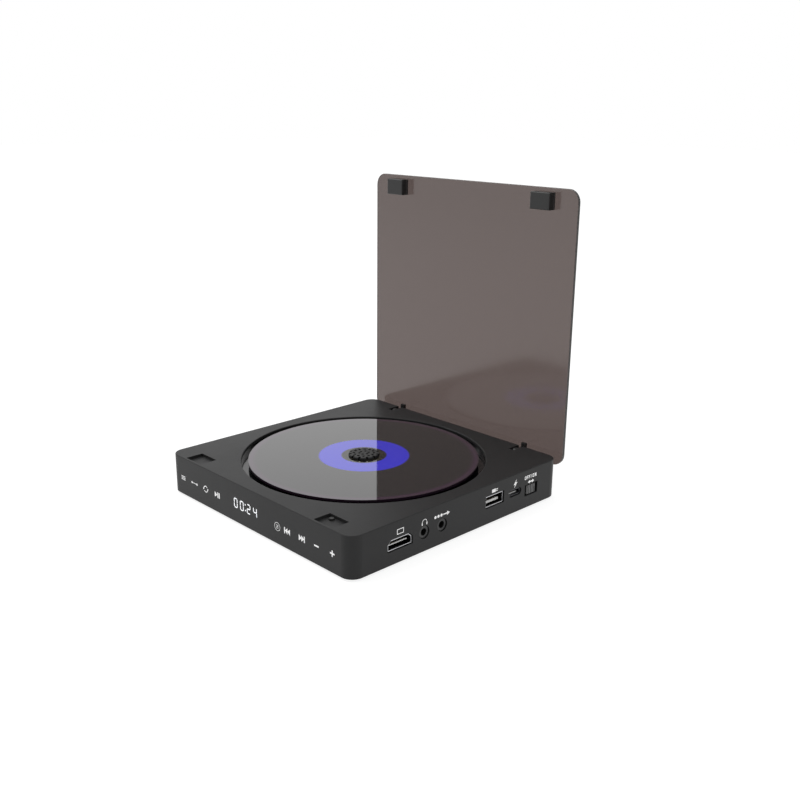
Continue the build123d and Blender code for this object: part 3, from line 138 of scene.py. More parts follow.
# Colours of the disc: pairs are mixed by fine noise
DARK_PRINT = ((0.008, 0.007, 0.007, 1.0), (0.020, 0.018, 0.019, 1.0))
BLUE_PRINT = ((0.030, 0.024, 0.70, 1.0), (0.042, 0.036, 0.84, 1.0))
CLEAR_MIDDLE = ((0.002, 0.002, 0.001, 1.0), (0.036, 0.032, 0.022, 1.0))
SILVER = ((0.50, 0.44, 0.62, 1.0), (0.60, 0.66, 0.58, 1.0))
PLUM_EDGE = (0.050, 0.018, 0.048, 1.0)
LACQUER_SHARE = 0.45
LACQUER_IOR = 1.5
DISC_IOR = 1.66
DISC_ROUGH = (0.02, 0.06)
DISC_WAVE = 0.1
DISC_RELIEF = 0.25

# Smoked sheet, lens glass and circuit board
SMOKED_COLOR = (0.106, 0.081, 0.075, 1.0)
SHEET_IOR = 1.49
SHEET_ROUGH = (0.11, 0.16)
WIPE_SQUEEZE = (1.0, 1.0, 0.15)
LENS_COLOR = (0.62, 0.76, 0.95, 1.0)
LENS_IOR = 1.58
LENS_ROUGH = (0.0, 0.04)
BOARD_GREENS = ((0.006, 0.05, 0.022, 1.0), (0.008, 0.065, 0.03, 1.0), (0.02, 0.15, 0.07, 1.0))
BARE_PAD = (0.55, 0.42, 0.20, 1.0)
PAD_EDGE = (0.10, 0.13)
BOARD_ROUGH = 0.25
BOARD_RELIEF = 0.3

# Plastics: grain in features per metre, the rest as shares
CASE_BLACK = (0.021, 0.021, 0.0215)
PLASTICS = {
    "case_plastic": dict(color=CASE_BLACK, rough=0.42, wear_and_highlight=0.4, level=0.24),
    "cover_plastic": dict(color=CASE_BLACK, rough=0.5, grain=2400.0, relief=0.2, wear_and_highlight=0.4, level=0.24),
    "well_plastic": dict(color=(0.006, 0.006, 0.007), rough=0.07, grain=1800.0, relief=0.02, level=0.6),
    "block_plastic": dict(
        color=(0.016, 0.016, 0.016), rough=0.34, grain=2800.0, relief=0.1, wear_and_highlight=0.3, level=0.4
    ),
    # Painted shade inward of the mouth: the knob below its rib tops, the jack holes, and the socket tongues
    # except their tip
    "knob_plastic": dict(
        color=(0.24, 0.24, 0.24), rough=0.42, grain=3600.0, relief=0.1, level=0.35, mouth=KNOB_MOUTH
    ),
    "hub_plastic": dict(
        color=(0.009, 0.009, 0.009), rough=0.42, grain=3000.0, relief=0.1, wear_and_highlight=0.3, level=0.3
    ),
    "rubber": dict(
        color=(0.022, 0.022, 0.022), rough=0.72, grain=5200.0, relief=0.35, spread=0.2, wear_and_highlight=0.2, level=0.25
    ),
    "socket_plastic": dict(
        color=(0.052, 0.052, 0.053), rough=0.40, grain=3000.0, relief=0.1, level=0.4, mouth=JACK_MOUTH
    ),
    "tongue_plastic": dict(
        color=(0.90, 0.90, 0.88), rough=0.42, grain=3000.0, relief=0.08, spread=0.05, level=0.4,
        mouth=TONGUE_MOUTH,
    ),
    "chip_black": dict(
        color=(0.022, 0.022, 0.024), rough=0.5, grain=6000.0, relief=0.3, spread=0.2, level=0.3
    ),
    "display_black": dict(color=(0.014, 0.014, 0.015), rough=0.12, grain=1500.0, relief=0.03, level=0.5),
    "drive_plastic": dict(
        color=(0.060, 0.060, 0.066), rough=0.46, grain=2600.0, relief=0.16, wear_and_highlight=0.3, level=0.4
    ),
    "seam_grey": dict(color=(0.09, 0.085, 0.085), rough=0.35, grain=3000.0, relief=0.1, level=0.5),
}

# Metals: squeeze draws the grain out along an axis, scale is in features per metre
METALS = {
    "screw_steel": dict(
        color=(0.10, 0.10, 0.11), rough=0.36, squeeze=(1.0, 1.0, 0.3), scale=1600.0, relief=0.15, spots=0.4
    ),
    "bright_steel": dict(
        color=(0.60, 0.60, 0.62), rough=0.24, squeeze=(0.05, 1.0, 1.0), scale=1500.0, relief=0.08, spots=0.1
    ),
    # Painted shade inside the socket shells, inward of their mouth
    "socket_steel": dict(
        color=(0.62, 0.62, 0.64), rough=0.27, squeeze=(0.1, 1.0, 1.0), scale=1500.0, relief=0.08, spots=0.15,
        mouth=SHELL_MOUTH,
    ),
    "spring_steel": dict(
        color=(0.55, 0.55, 0.55), rough=0.3, squeeze=(1.0, 0.1, 1.0), scale=2600.0, relief=0.2, spots=0.1
    ),
    "capacitor_can": dict(
        color=(0.62, 0.62, 0.64), rough=0.3, squeeze=(1.0, 1.0, 0.05), scale=1300.0, relief=0.08, spots=0.1
    ),
    "battery_foil": dict(color=(0.48, 0.49, 0.51), rough=0.4, scale=160.0, relief=0.6, spots=0.1),
    "bronze": dict(color=(0.48, 0.33, 0.15), rough=0.45, scale=3400.0, relief=0.4, spots=0.3),
    "motor_can": dict(
        color=(0.55, 0.55, 0.57), rough=0.26, squeeze=(0.06, 1.0, 1.0), scale=1200.0, relief=0.08, spots=0.12
    ),
    "magnet": dict(color=(0.40, 0.40, 0.42), rough=0.34, scale=1800.0, relief=0.2, spots=0.25),
    "contact_gold": dict(
        color=(0.83, 0.58, 0.22), rough=0.24, squeeze=(0.2, 1.0, 1.0), scale=1400.0, relief=0.06, spots=0.15
    ),
}

# Striped surfaces, with their scale in stripes per metre
STRIPES = {
    "flat_lead": dict(
        first=(0.38, 0.16, 0.03, 1.0), second=(0.62, 0.30, 0.07, 1.0), scale=330.0, direction="Y",
        metallic=0.1, rough=0.25, relief=0.2,
    ),
    "copper_winding": dict(
        first=(0.30, 0.11, 0.04, 1.0), second=(0.74, 0.36, 0.16, 1.0), scale=520.0, direction="Z",
        metallic=1.0, rough=0.2, relief=0.6,
    ),
}

# Marks on the faces, with how strongly they glow: the lit display's glow is its own light, while the glow of
# the printed white marks is painted light
INK_ROUGH = (0.35, 0.55)
INKS = {
    "print_white_with_painted_glow": dict(color=(0.88, 0.88, 0.88, 1.0), glow=0.35),
    "lit_white": dict(color=(0.95, 0.97, 1.0, 1.0), glow=0.6),
}

# Places of the front signs, in millimetres: across from the middle, and up from the resting plane
MENU_PLACE = (-60.5, 10.5)
SPAN_PLACE = (-50.0, 10.5)
REPEAT_PLACE = (-39.6, 10.5)
PLAY_PLACE = (-29.5, 10.5)
SOURCE_PLACE = (20.1, 10.0)
BACK_PLACE = (27.6, 10.1)
FORWARD_PLACE = (38.2, 10.25)
MINUS_PLACE = (48.7, 10.25)
PLUS_PLACE = (59.6, 10.5)
FIGURES_PLACE = (-5.0, 11.35)
FIGURE_OFFSETS = (-8.2, -3.1, 2.5, 7.7)
FIGURE_SEGMENTS = ("abcdef", "abcdef", "abged", "fgbc")
COLON_OFFSET = -0.2

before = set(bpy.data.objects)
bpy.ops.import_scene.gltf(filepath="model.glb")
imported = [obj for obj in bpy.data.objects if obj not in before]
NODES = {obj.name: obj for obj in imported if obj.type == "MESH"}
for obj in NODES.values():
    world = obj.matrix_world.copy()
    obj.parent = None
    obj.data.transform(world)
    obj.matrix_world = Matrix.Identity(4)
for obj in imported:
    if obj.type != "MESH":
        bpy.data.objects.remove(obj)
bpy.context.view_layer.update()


def make_camera():
    """Camera that sees the player as the photograph does."""
    data = bpy.data.cameras.new("camera")
    data.lens = CAMERA_LENS
    data.clip_start = CLIP_NEAR
    data.clip_end = CLIP_FAR
    camera = bpy.data.objects.new("camera", data)
    turn = Matrix((CAMERA_RIGHT, CAMERA_UP, -CAMERA_AHEAD)).transposed().to_4x4()
    camera.matrix_world = Matrix.Translation(CAMERA_PLACE) @ turn
    bpy.context.scene.collection.objects.link(camera)
    bpy.context.scene.camera = camera


def node(tree, kind, inputs=None, **settings):
    """New shader node. Inputs take numbers, colours or the output of another node."""
    made = tree.nodes.new(kind)
    for name, value in settings.items():
        setattr(made, name, value)
    for name, value in (inputs or {}).items():
        if isinstance(value, bpy.types.NodeSocket):
            tree.links.new(value, made.inputs[name])
        else:
            made.inputs[name].default_value = value
    return made


def math_node(tree, operation, first, second=0.0, third=0.0):
    """Output of one sum, product or other step on numbers."""
    return node(tree, "ShaderNodeMath", {0: first, 1: second, 2: third}, operation=operation).outputs[0]


def dot_product(tree, first, second):
    """How far two directions agree, from -1 to 1."""
    return node(tree, "ShaderNodeVectorMath", {0: first, 1: second}, operation="DOT_PRODUCT").outputs["Value"]


def remap(tree, value, source, target):
    """Value moved from one range to another, kept inside it."""
    inputs = {"Value": value}
    inputs["From Min"], inputs["From Max"] = source
    inputs["To Min"], inputs["To Max"] = target
    return node(tree, "ShaderNodeMapRange", inputs).outputs["Result"]


def blend(tree, share, first, second):
    """Colour between two colours."""
    made = tree.nodes.new("ShaderNodeMix")
    made.data_type = "RGBA"
    for place, value in ((MIX_SHARE, share), (MIX_FIRST, first), (MIX_SECOND, second)):
        if isinstance(value, bpy.types.NodeSocket):
            tree.links.new(value, made.inputs[place])
        else:
            made.inputs[place].default_value = value
    return made.outputs[MIX_RESULT]


def seen_share(tree):
    """One for rays that show the background: straight from the camera, reflected or through the lid."""
    path = node(tree, "ShaderNodeLightPath")
    share = math_node(tree, "MAXIMUM", path.outputs["Is Camera Ray"], path.outputs["Is Glossy Ray"])
    return math_node(tree, "MAXIMUM", share, path.outputs["Is Transmission Ray"])


def make_surroundings():
    """White surroundings that give less fill from the front."""
    world = bpy.data.worlds.new("studio")
    world.use_nodes = True
    tree = world.node_tree
    tree.nodes.clear()
    way = node(tree, "ShaderNodeTexCoord").outputs["Generated"]
    facing = dot_product(tree, way, DARK_CARD_WAY)
    held_back = remap(tree, facing, (DARK_CARD_EDGE, DARK_CARD_MIDDLE), (1.0, DARK_CARD_LEVEL))
    dimmed = math_node(tree, "MULTIPLY", held_back, WORLD_FILL)
    fill = node(tree, "ShaderNodeBackground", {"Color": WHITE, "Strength": dimmed})
    white = node(tree, "ShaderNodeBackground", {"Color": WHITE, "Strength": 1.0})
    mixed = node(tree, "ShaderNodeMixShader", {0: seen_share(tree), 1: fill.outputs[0], 2: white.outputs[0]})
    node(tree, "ShaderNodeOutputWorld", {"Surface": mixed.outputs[0]})
    bpy.context.scene.world = world


def make_floor():
    """Pale floor that fades into the white and keeps the shadow."""
    mesh = bpy.data.meshes.new("studio_floor")
    corners = [(x * FLOOR_HALF, y * FLOOR_HALF, 0.0) for x, y in ((-1, -1), (1, -1), (1, 1), (-1, 1))]
    mesh.from_pydata(corners, [], [(0, 1, 2, 3)])
    floor = bpy.data.objects.new("studio_floor", mesh)
    bpy.context.scene.collection.objects.link(floor)
    material = bpy.data.materials.new("pale_floor")
    material.use_nodes = True
    tree = material.node_tree
    tree.nodes.clear()
    seen = node(tree, "ShaderNodeBsdfDiffuse", {"Color": FLOOR_SEEN_COLOR})
    glow = node(tree, "ShaderNodeEmission", {"Strength": FLOOR_SEEN_GLOW})
    both = node(tree, "ShaderNodeAddShader", {0: seen.outputs[0], 1: glow.outputs[0]})
    bounce = node(tree, "ShaderNodeBsdfDiffuse", {"Color": FLOOR_BOUNCE_COLOR})
    mixed = node(tree, "ShaderNodeMixShader", {0: seen_share(tree), 1: bounce.outputs[0], 2: both.outputs[0]})
    node(tree, "ShaderNodeOutputMaterial", {"Surface": mixed.outputs[0]})
    mesh.materials.append(material)


def make_lamp():
    """One large soft lamp."""
    data = bpy.data.lights.new("soft_lamp", "AREA")
    data.shape = "SQUARE"
    data.size = LAMP_SIZE
    data.energy = LAMP_POWER
    lamp = bpy.data.objects.new("soft_lamp", data)
    lamp.rotation_mode = "QUATERNION"
    lamp.location = LAMP_PLACE
    lamp.rotation_quaternion = (LAMP_TARGET - LAMP_PLACE).to_track_quat("-Z", "Y")
    bpy.context.scene.collection.objects.link(lamp)


def start_material(name, **fixed):
    """Material with one Principled shader, its fixed values on the shader's own sockets."""
    material = bpy.data.materials.new(name)
    material.use_nodes = True
    tree = material.node_tree
    tree.nodes.clear()
    shader = node(tree, "ShaderNodeBsdfPrincipled")
    for socket, value in fixed.items():
        shader.inputs[socket.replace("_", " ")].default_value = value
    node(tree, "ShaderNodeOutputMaterial", {"Surface": shader.outputs[0]})
    coord = node(tree, "ShaderNodeTexCoord").outputs["Object"]
    return material, tree, shader, coord


def noise(tree, coord, scale, detail=2.0, roughness=0.5):
    """Noise from 0 to 1, with its scale in features per metre."""
    inputs = {"Vector": coord, "Scale": scale, "Detail": detail, "Roughness": roughness}
    return node(tree, "ShaderNodeTexNoise", inputs).outputs[0]


def stretched(tree, coord, factors):
    """Coordinate squeezed along some axes, for brushed and drawn surfaces."""
    return node(tree, "ShaderNodeMapping", {"Vector": coord, "Scale": factors}).outputs[0]


def edge_share(tree):
    """One on edges, which are lightened partly for wear and partly as a painted highlight, and zero on flats.
    """
    rounded = node(tree, "ShaderNodeBevel", {"Radius": WORN_AND_HIGHLIT_EDGE}, samples=EDGE_SAMPLES).outputs[0]
    plain = node(tree, "ShaderNodeNewGeometry").outputs["Normal"]
    facing = dot_product(tree, rounded, plain)
    return remap(tree, facing, (EDGE_BENT, EDGE_FLAT), (1.0, 0.0))


def shade(color, factor):
    """Colour made lighter or darker."""
    return tuple(min(1.0, part * factor) for part in color[:3]) + (1.0,)


def set_gloss(tree, shader, slow, fine, rough, uneven, finer):
    """Roughness about a middle value, with slow and fine changes over the surface."""
    base_rough = remap(tree, slow, NOISE_MIDDLE, (rough - uneven, rough + uneven))
    tree.links.new(math_node(tree, "MULTIPLY_ADD", fine, finer, base_rough), shader.inputs["Roughness"])


def set_relief(tree, shader, height, strength, depth):
    """Small relief in the surface."""
    bump = node(tree, "ShaderNodeBump", {"Height": height, "Strength": strength, "Distance": depth})
    tree.links.new(bump.outputs[0], shader.inputs["Normal"])


def painted_shade_inside(tree, coord, tone, color, mouth):
    """Tone with painted shade, dark inwards from a mouth in the right wall."""
    across = node(tree, "ShaderNodeSeparateXYZ", {0: coord}).outputs["X"]
    inside = remap(tree, across, (mouth - MOUTH_SOFT, mouth), (1.0, 0.0))
    return blend(tree, inside, tone, shade(color, INSIDE_PAINTED_SHADE))


def plastic(name, color, rough, grain=3200.0, relief=0.12, spread=0.1, wear_and_highlight=0.0, level=0.3, mouth=None):
    """Moulded plastic: fine spark-eroded grain, slow cloudiness in tone, and edges lightened partly as rubbed
    wear and partly as a painted highlight.
    """
    material, tree, shader, coord = start_material(name, Specular_IOR_Level=level)
    cloud = noise(tree, coord, scale=28.0, detail=4.0, roughness=0.6)
    fine = noise(tree, coord, scale=grain, detail=3.0, roughness=0.65)
    streak = noise(tree, coord, scale=9.0, detail=6.0, roughness=0.7)
    tone = blend(tree, cloud, shade(color, 1 - spread), shade(color, 1 + spread))
    specks = remap(tree, fine, SPECK_RANGE, (0.0, SPECK_SHARE))
    tone = blend(tree, specks, tone, shade(color, 1 + SPECK_GAIN * spread))
    # Lighter edges: partly rubbed wear, partly a painted highlight
    if wear_and_highlight:
        uneven = remap(tree, cloud, WEAR_AND_HIGHLIGHT_RANGE, (WEAR_AND_HIGHLIGHT_LEAST * wear_and_highlight, wear_and_highlight))
        rubbed_and_highlit = math_node(tree, "MULTIPLY", edge_share(tree), uneven)
        tone = blend(tree, rubbed_and_highlit, tone, shade(color, WORN_AND_HIGHLIGHT_LIGHTER))
    # Painted shade deeper in than the mouth of an opening in the right wall
    if mouth:
        tone = painted_shade_inside(tree, coord, tone, color, mouth)
    tree.links.new(tone, shader.inputs["Base Color"])
    set_gloss(tree, shader, streak, fine, rough, uneven=0.05, finer=0.08)
    set_relief(tree, shader, fine, relief, GRAIN_DEPTH)
    return material


def metal(name, color, rough, squeeze=(1.0, 1.0, 1.0), scale=900.0, relief=0.1, spots=0.0, mouth=None):
    """Plated or ground metal: drawn lines, uneven gloss and a few dull spots."""
    material, tree, shader, coord = start_material(name, Metallic=1.0)
    lines = noise(tree, stretched(tree, coord, squeeze), scale=scale, detail=4.0, roughness=0.6)
    cloud = noise(tree, coord, scale=120.0, detail=3.0, roughness=0.6)
    tone = blend(tree, lines, shade(color, LINE_DARK), shade(color, LINE_LIGHT))
    if spots:
        dull = remap(tree, cloud, SPOT_RANGE, (0.0, spots))
        tone = blend(tree, dull, tone, shade(color, SPOT_DARK))
    # Painted shade deeper in than the mouth of an opening in the right wall
    if mouth:
        tone = painted_shade_inside(tree, coord, tone, color, mouth)
    tree.links.new(tone, shader.inputs["Base Color"])
    set_gloss(tree, shader, cloud, lines, rough, uneven=0.06, finer=0.16)
    set_relief(tree, shader, lines, relief, DRAWN_DEPTH)
    return material


def smoked_sheet():
    """Smoked sheet with a satin face and faint wipe marks."""
    material, tree, shader, coord = start_material(
        "smoked_sheet", Base_Color=SMOKED_COLOR, Transmission_Weight=1.0, IOR=SHEET_IOR
    )
    wipes = noise(tree, stretched(tree, coord, WIPE_SQUEEZE), scale=160.0, detail=5.0, roughness=0.7)
    tree.links.new(remap(tree, wipes, WIPE_RANGE, SHEET_ROUGH), shader.inputs["Roughness"])
    return material


def ring_share(tree, radius, ring, soft):
    """One between two radii, with soft ends."""
    low, high = ring
    inner = remap(tree, radius, (low - soft, low + soft), (0.0, 1.0))
    outer = remap(tree, radius, (high - soft, high + soft), (1.0, 0.0))
    return math_node(tree, "MULTIPLY", inner, outer)


def disc_face():
    """Disc: dark printed face with a blue ring, clear middle, lacquered edge and a silvered underside."""
    material, tree, shader, coord = start_material(
        "disc_face", IOR=DISC_IOR, Specular_IOR_Level=0.5, Coat_Roughness=0.03, Coat_IOR=LACQUER_IOR
    )
    parts = node(tree, "ShaderNodeSeparateXYZ", {0: coord})
    squares = [math_node(tree, "MULTIPLY", parts.outputs[axis], parts.outputs[axis]) for axis in "XY"]
    radius = math_node(tree, "SQRT", math_node(tree, "ADD", *squares))
    speckle = noise(tree, coord, scale=2600.0, detail=3.0, roughness=0.7)
    mottle = noise(tree, coord, scale=620.0, detail=2.0, roughness=0.6)
    hazy = noise(tree, coord, scale=14.0, detail=5.0, roughness=0.7)

    dark = blend(tree, speckle, *DARK_PRINT)
    tone = blend(tree, ring_share(tree, radius, PLUM_RING, PLUM_END), dark, PLUM_EDGE)
    blue = blend(tree, speckle, *BLUE_PRINT)
    tone = blend(tree, ring_share(tree, radius, BLUE_RING, PRINT_END), tone, blue)
    clear = blend(tree, remap(tree, mottle, MOTTLE_RANGE, (0.0, 1.0)), *CLEAR_MIDDLE)
    bare = ring_share(tree, radius, CLEAR_RING, PRINT_END)
    tone = blend(tree, bare, tone, clear)

    normal = node(tree, "ShaderNodeSeparateXYZ", {0: node(tree, "ShaderNodeNewGeometry").outputs["Normal"]})
    under = remap(tree, normal.outputs["Z"], UNDERSIDE, (0.0, 1.0))
    written = ring_share(tree, radius, WRITTEN_RING, SHARP_END)
    silvered = math_node(tree, "MULTIPLY", under, written)
    inputs = {"Vector": coord, "Scale": 900.0, "Distortion": 0.4}
    waves = node(tree, "ShaderNodeTexWave", inputs, wave_type="RINGS", rings_direction="Z")
    grooves = waves.outputs["Fac"]
    tone = blend(tree, silvered, tone, blend(tree, grooves, *SILVER))

    tree.links.new(tone, shader.inputs["Base Color"])
    tree.links.new(silvered, shader.inputs["Metallic"])
    tree.links.new(remap(tree, bare, (0.0, 1.0), (LACQUER_SHARE, 0.0)), shader.inputs["Coat Weight"])
    tree.links.new(remap(tree, hazy, HAZE_RANGE, DISC_ROUGH), shader.inputs["Roughness"])
    ridge = ring_share(tree, radius, STACKING_RING, RIDGE_END)
    height = math_node(tree, "MULTIPLY_ADD", hazy, DISC_WAVE, ridge)
    set_relief(tree, shader, height, DISC_RELIEF, GRAIN_DEPTH)
    return material


def circuit_board():
    """Green solder mask over copper runs, with small bare pads."""
    material, tree, shader, coord = start_material("circuit_board", Specular_IOR_Level=0.5)
    inputs = {"Vector": coord, "Scale": 260.0, "Mortar Size": 0.012, "Bias": 0.2}
    inputs["Color1"], inputs["Color2"], inputs["Mortar"] = BOARD_GREENS
    runs = node(tree, "ShaderNodeTexBrick", inputs, offset=0.37, squash=0.6)
    inputs = {"Vector": coord, "Scale": 420.0, "Randomness": 0.8}
    cells = node(tree, "ShaderNodeTexVoronoi", inputs)
    pads = remap(tree, cells.outputs["Distance"], PAD_EDGE, (1.0, 0.0))
    tone = blend(tree, pads, runs.outputs["Color"], BARE_PAD)
    tree.links.new(tone, shader.inputs["Base Color"])
    tree.links.new(pads, shader.inputs["Metallic"])
    fine = noise(tree, coord, scale=800.0, detail=3.0)
    tree.links.new(math_node(tree, "MULTIPLY_ADD", fine, FINE_GLOSS, BOARD_ROUGH), shader.inputs["Roughness"])
    set_relief(tree, shader, runs.outputs["Fac"], BOARD_RELIEF, GRAIN_DEPTH)
    return material


def striped(name, first, second, scale, direction, metallic, rough, relief):
    """Even stripes, for wire windings and the copper runs of flat leads."""
    material, tree, shader, coord = start_material(name, Metallic=metallic)
    inputs = {"Vector": coord, "Scale": scale, "Distortion": 0.3, "Detail": 1.0}
    wave = node(tree, "ShaderNodeTexWave", inputs, bands_direction=direction).outputs["Fac"]
    fine = noise(tree, coord, scale=1500.0, detail=3.0)
    tone = blend(tree, remap(tree, wave, STRIPE_RANGE, (0.0, 1.0)), first, second)
    grime = remap(tree, fine, GRIME_RANGE, (0.0, GRIME_SHARE))
    tone = blend(tree, grime, tone, shade(second, GRIME_DARK))
    tree.links.new(tone, shader.inputs["Base Color"])
    tree.links.new(math_node(tree, "MULTIPLY_ADD", fine, FINE_GLOSS, rough), shader.inputs["Roughness"])
    set_relief(tree, shader, wave, relief, WEAVE_DEPTH)
    return material


def lens_glass():
    """Coated lens glass with a slight uneven gloss."""
    material, tree, shader, coord = start_material(
        "lens_glass", Base_Color=LENS_COLOR, Transmission_Weight=1.0, IOR=LENS_IOR
    )
    cloud = noise(tree, coord, scale=700.0)
    tree.links.new(remap(tree, cloud, NOISE_MIDDLE, LENS_ROUGH), shader.inputs["Roughness"])
    return material


def ink(name, color, glow):
    """Printed or lit white marks, with the slight unevenness of screen print; on printed marks the glow is
    painted light.
    """
    material, tree, shader, coord = start_material(name, Emission_Color=color, Emission_Strength=glow)
    fine = noise(tree, coord, scale=4200.0, detail=3.0, roughness=0.6)
    full = remap(tree, fine, NOISE_MIDDLE, (0.0, 1.0))
    tone = blend(tree, full, shade(color, INK_THIN), color)
    tree.links.new(tone, shader.inputs["Base Color"])
    tree.links.new(remap(tree, fine, INK_RANGE, INK_ROUGH), shader.inputs["Roughness"])
    return material


def make_materials():
    """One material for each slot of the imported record, and the scene's own inks and contacts."""
    made = {name: plastic(name, **settings) for name, settings in PLASTICS.items()}
    made.update({name: metal(name, **settings) for name, settings in METALS.items()})
    made.update({name: striped(name, **settings) for name, settings in STRIPES.items()})
    made.update({name: ink(name, **settings) for name, settings in INKS.items()})
    made["smoked_sheet"] = smoked_sheet()
    made["disc_face"] = disc_face()
    made["circuit_board"] = circuit_board()
    made["lens_glass"] = lens_glass()
    return made


def dress_nodes(materials):
    """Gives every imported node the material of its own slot."""
    for cad_node in NODES.values():
        slot_name = cad_node.data.materials[0].name.split(".")[0]
        cad_node.data.materials[0] = materials[slot_name]


def band(inner, outer, start, end, v=0.0, steps=24):
    """Strip along an arc, as one closed outline."""
    angles = [math.radians(start + (end - start) * k / steps) for k in range(steps + 1)]
    rim = [(outer * math.cos(angle), v + outer * math.sin(angle)) for angle in angles]
    back = [(inner * math.cos(angle), v + inner * math.sin(angle)) for angle in reversed(angles)]
    return rim + back


def dot(u, v, radius, steps=20):
    """Filled circle."""
    angles = [math.tau * k / steps for k in range(steps)]
    return [(u + radius * math.cos(angle), v + radius * math.sin(angle)) for angle in angles]


def block(u, v, width, height):
    """Filled rectangle about its centre."""
    left, right = u - width / 2, u + width / 2
    low, high = v - height / 2, v + height / 2
    return [(left, low), (right, low), (right, high), (left, high)]


def line(start, end, width):
    """Straight stroke between two points."""
    along = Vector(end) - Vector(start)
    side = Vector((-along.y, along.x)).normalized() * width / 2
    first, last = Vector(start), Vector(end)
    return [tuple(corner) for corner in (first - side, last - side, last + side, first + side)]


def wedge(u, v, width, height, way):
    """Triangle that points along the way, which is 1 or -1."""
    tail = u - way * width / 2
    return [(tail, v - height / 2), (u + way * width / 2, v), (tail, v + height / 2)]


def add_piece(name, mesh, material, body):
    """New piece from a mesh in the making, with its material, slot and body."""
    data = bpy.data.meshes.new(name)
    mesh.to_mesh(data)
    mesh.free()
    data.materials.append(material)
    made = bpy.data.objects.new(name, data)
    bpy.context.scene.collection.objects.link(made)
    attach(made, body)


def print_sign(name, face, place, shapes, material):
    """Thin printed shapes on the front or the right face, in millimetres from their middle."""
    mesh = bmesh.new()
    for shape in shapes:
        corners = []
        for a, b in shape:
            across, up = (place[0] + a) * MM, (place[1] + b) * MM
            point = (across, -CASE_HALF, up) if face == "front" else (CASE_HALF, across, up)
            corners.append(mesh.verts.new(point))
        flat = mesh.faces.new(corners)
        lifted = bmesh.ops.extrude_face_region(mesh, geom=[flat])["geom"]
        shift = Vector((0, -INK_RISE, 0)) if face == "front" else Vector((INK_RISE, 0, 0))
        bmesh.ops.translate(mesh, vec=shift, verts=[g for g in lifted if isinstance(g, bmesh.types.BMVert)])
    bmesh.ops.recalc_face_normals(mesh, faces=mesh.faces)
    add_piece(name, mesh, material, "player")


def digit(u, lit):
    """Seven-segment figure, with the lit segments by letter."""
    half_width = 1.22
    half_height = 2.28
    thick = 0.56
    gap = 0.3
    rows = {"a": half_height, "g": 0.0, "d": -half_height}
    sides = {"b": (half_width, 1), "c": (half_width, -1), "f": (-half_width, 1), "e": (-half_width, -1)}
    shapes = []
    for letter in lit:
        if letter in rows:
            shapes.append(block(u, rows[letter], 2 * half_width - thick, thick))
        else:
            across, way = sides[letter]
            shapes.append(block(u + across, way * half_height / 2, thick, half_height - gap))
    return shapes


def display_figures():
    """The time, in four figures with a colon."""
    side = 0.7
    rise = 1.5
    shapes = [block(COLON_OFFSET, way * rise, side, side) for way in (-1, 1)]
    for offset, segments in zip(FIGURE_OFFSETS, FIGURE_SEGMENTS):
        shapes += digit(offset, segments)
    return shapes


def menu_sign():
    """Three level bars."""
    width = 3.6
    thick = 0.4
    pitch = 0.85
    return [block(0, row * pitch, width, thick) for row in (-1, 0, 1)]


def span_sign():
    """Two points joined by a line."""
    reach = 2.3
    radius = 0.62
    width = 3.6
    thick = 0.3
    return [dot(-reach, 0, radius), dot(reach, 0, radius), block(0, 0, width, thick)]


def repeat_sign():
    """Two curved arrows that chase each other."""
    inner = 1.35
    outer = 1.8
    reach = 1.7
    lift = 0.1
    width = 1.0
    height = 1.2
    sweep = 135
    arcs = [band(inner, outer, start, start + sweep) for start in (35, 215)]
    return arcs + [wedge(-reach, -lift, width, height, 1), wedge(reach, lift, width, height, -1)]


def play_sign():
    """Triangle and two bars."""
    high = 3.0
    width = 2.1
    thick = 0.8
    tail = -0.9
    bars = [block(u, 0, thick, high) for u in (0.75, 1.95)]
    return [wedge(tail, 0, width, high, 1)] + bars


def source_sign():
    """Three bars in a ring."""
    inner = 1.92
    outer = 2.14
    width = 1.6
    thick = 0.26
    pitch = 0.72
    ring = [band(inner, outer, 0, 180), band(inner, outer, 180, 360)]
    return ring + [block(0, row * pitch, width, thick) for row in (-1, 0, 1)]


def skip_sign(way):
    """Bar and two triangles, for one track back or forward, by the way from -1 to 1."""
    high = 3.1
    thick = 0.7
    width = 1.9
    reach = 1.95
    heads = [wedge(way * u, 0, width, high, way) for u in (-1.1, 0.75)]
    return [block(way * reach, 0, thick, high)] + heads


def minus_sign():
    """Minus."""
    length = 3.2
    thick = 0.8
    return [block(0, 0, length, thick)]


def plus_sign():
    """Plus."""
    length = 3.1
    thick = 0.75
    stub = (length - thick) / 2
    middle = (length + thick) / 4
    return [block(0, 0, length, thick), block(0, middle, thick, stub), block(0, -middle, thick, stub)]


def front_signs(white, lit):
    """Touch key signs and the time on the display."""
    signs = (
        ("sign_menu", MENU_PLACE, menu_sign()),
        ("sign_span", SPAN_PLACE, span_sign()),
        ("sign_repeat", REPEAT_PLACE, repeat_sign()),
        ("sign_play", PLAY_PLACE, play_sign()),
        ("sign_source", SOURCE_PLACE, source_sign()),
        ("sign_back", BACK_PLACE, skip_sign(-1)),
        ("sign_forward", FORWARD_PLACE, skip_sign(1)),
        ("sign_minus", MINUS_PLACE, minus_sign()),
        ("sign_plus", PLUS_PLACE, plus_sign()),
    )
    for name, place, shapes in signs:
        print_sign(name, "front", place, shapes, white)
    print_sign("display_figures", "front", FIGURES_PLACE, display_figures(), lit)


def screen_sign():
    """Outline of a screen."""
    width = 4.2
    height = 2.55
    thick = 0.35
    across = (width - thick) / 2
    up = (height - thick) / 2
    level = [block(0, way * up, width, thick) for way in (-1, 1)]
    upright = [block(way * across, 0, thick, 2 * up - thick) for way in (-1, 1)]
    return level + upright


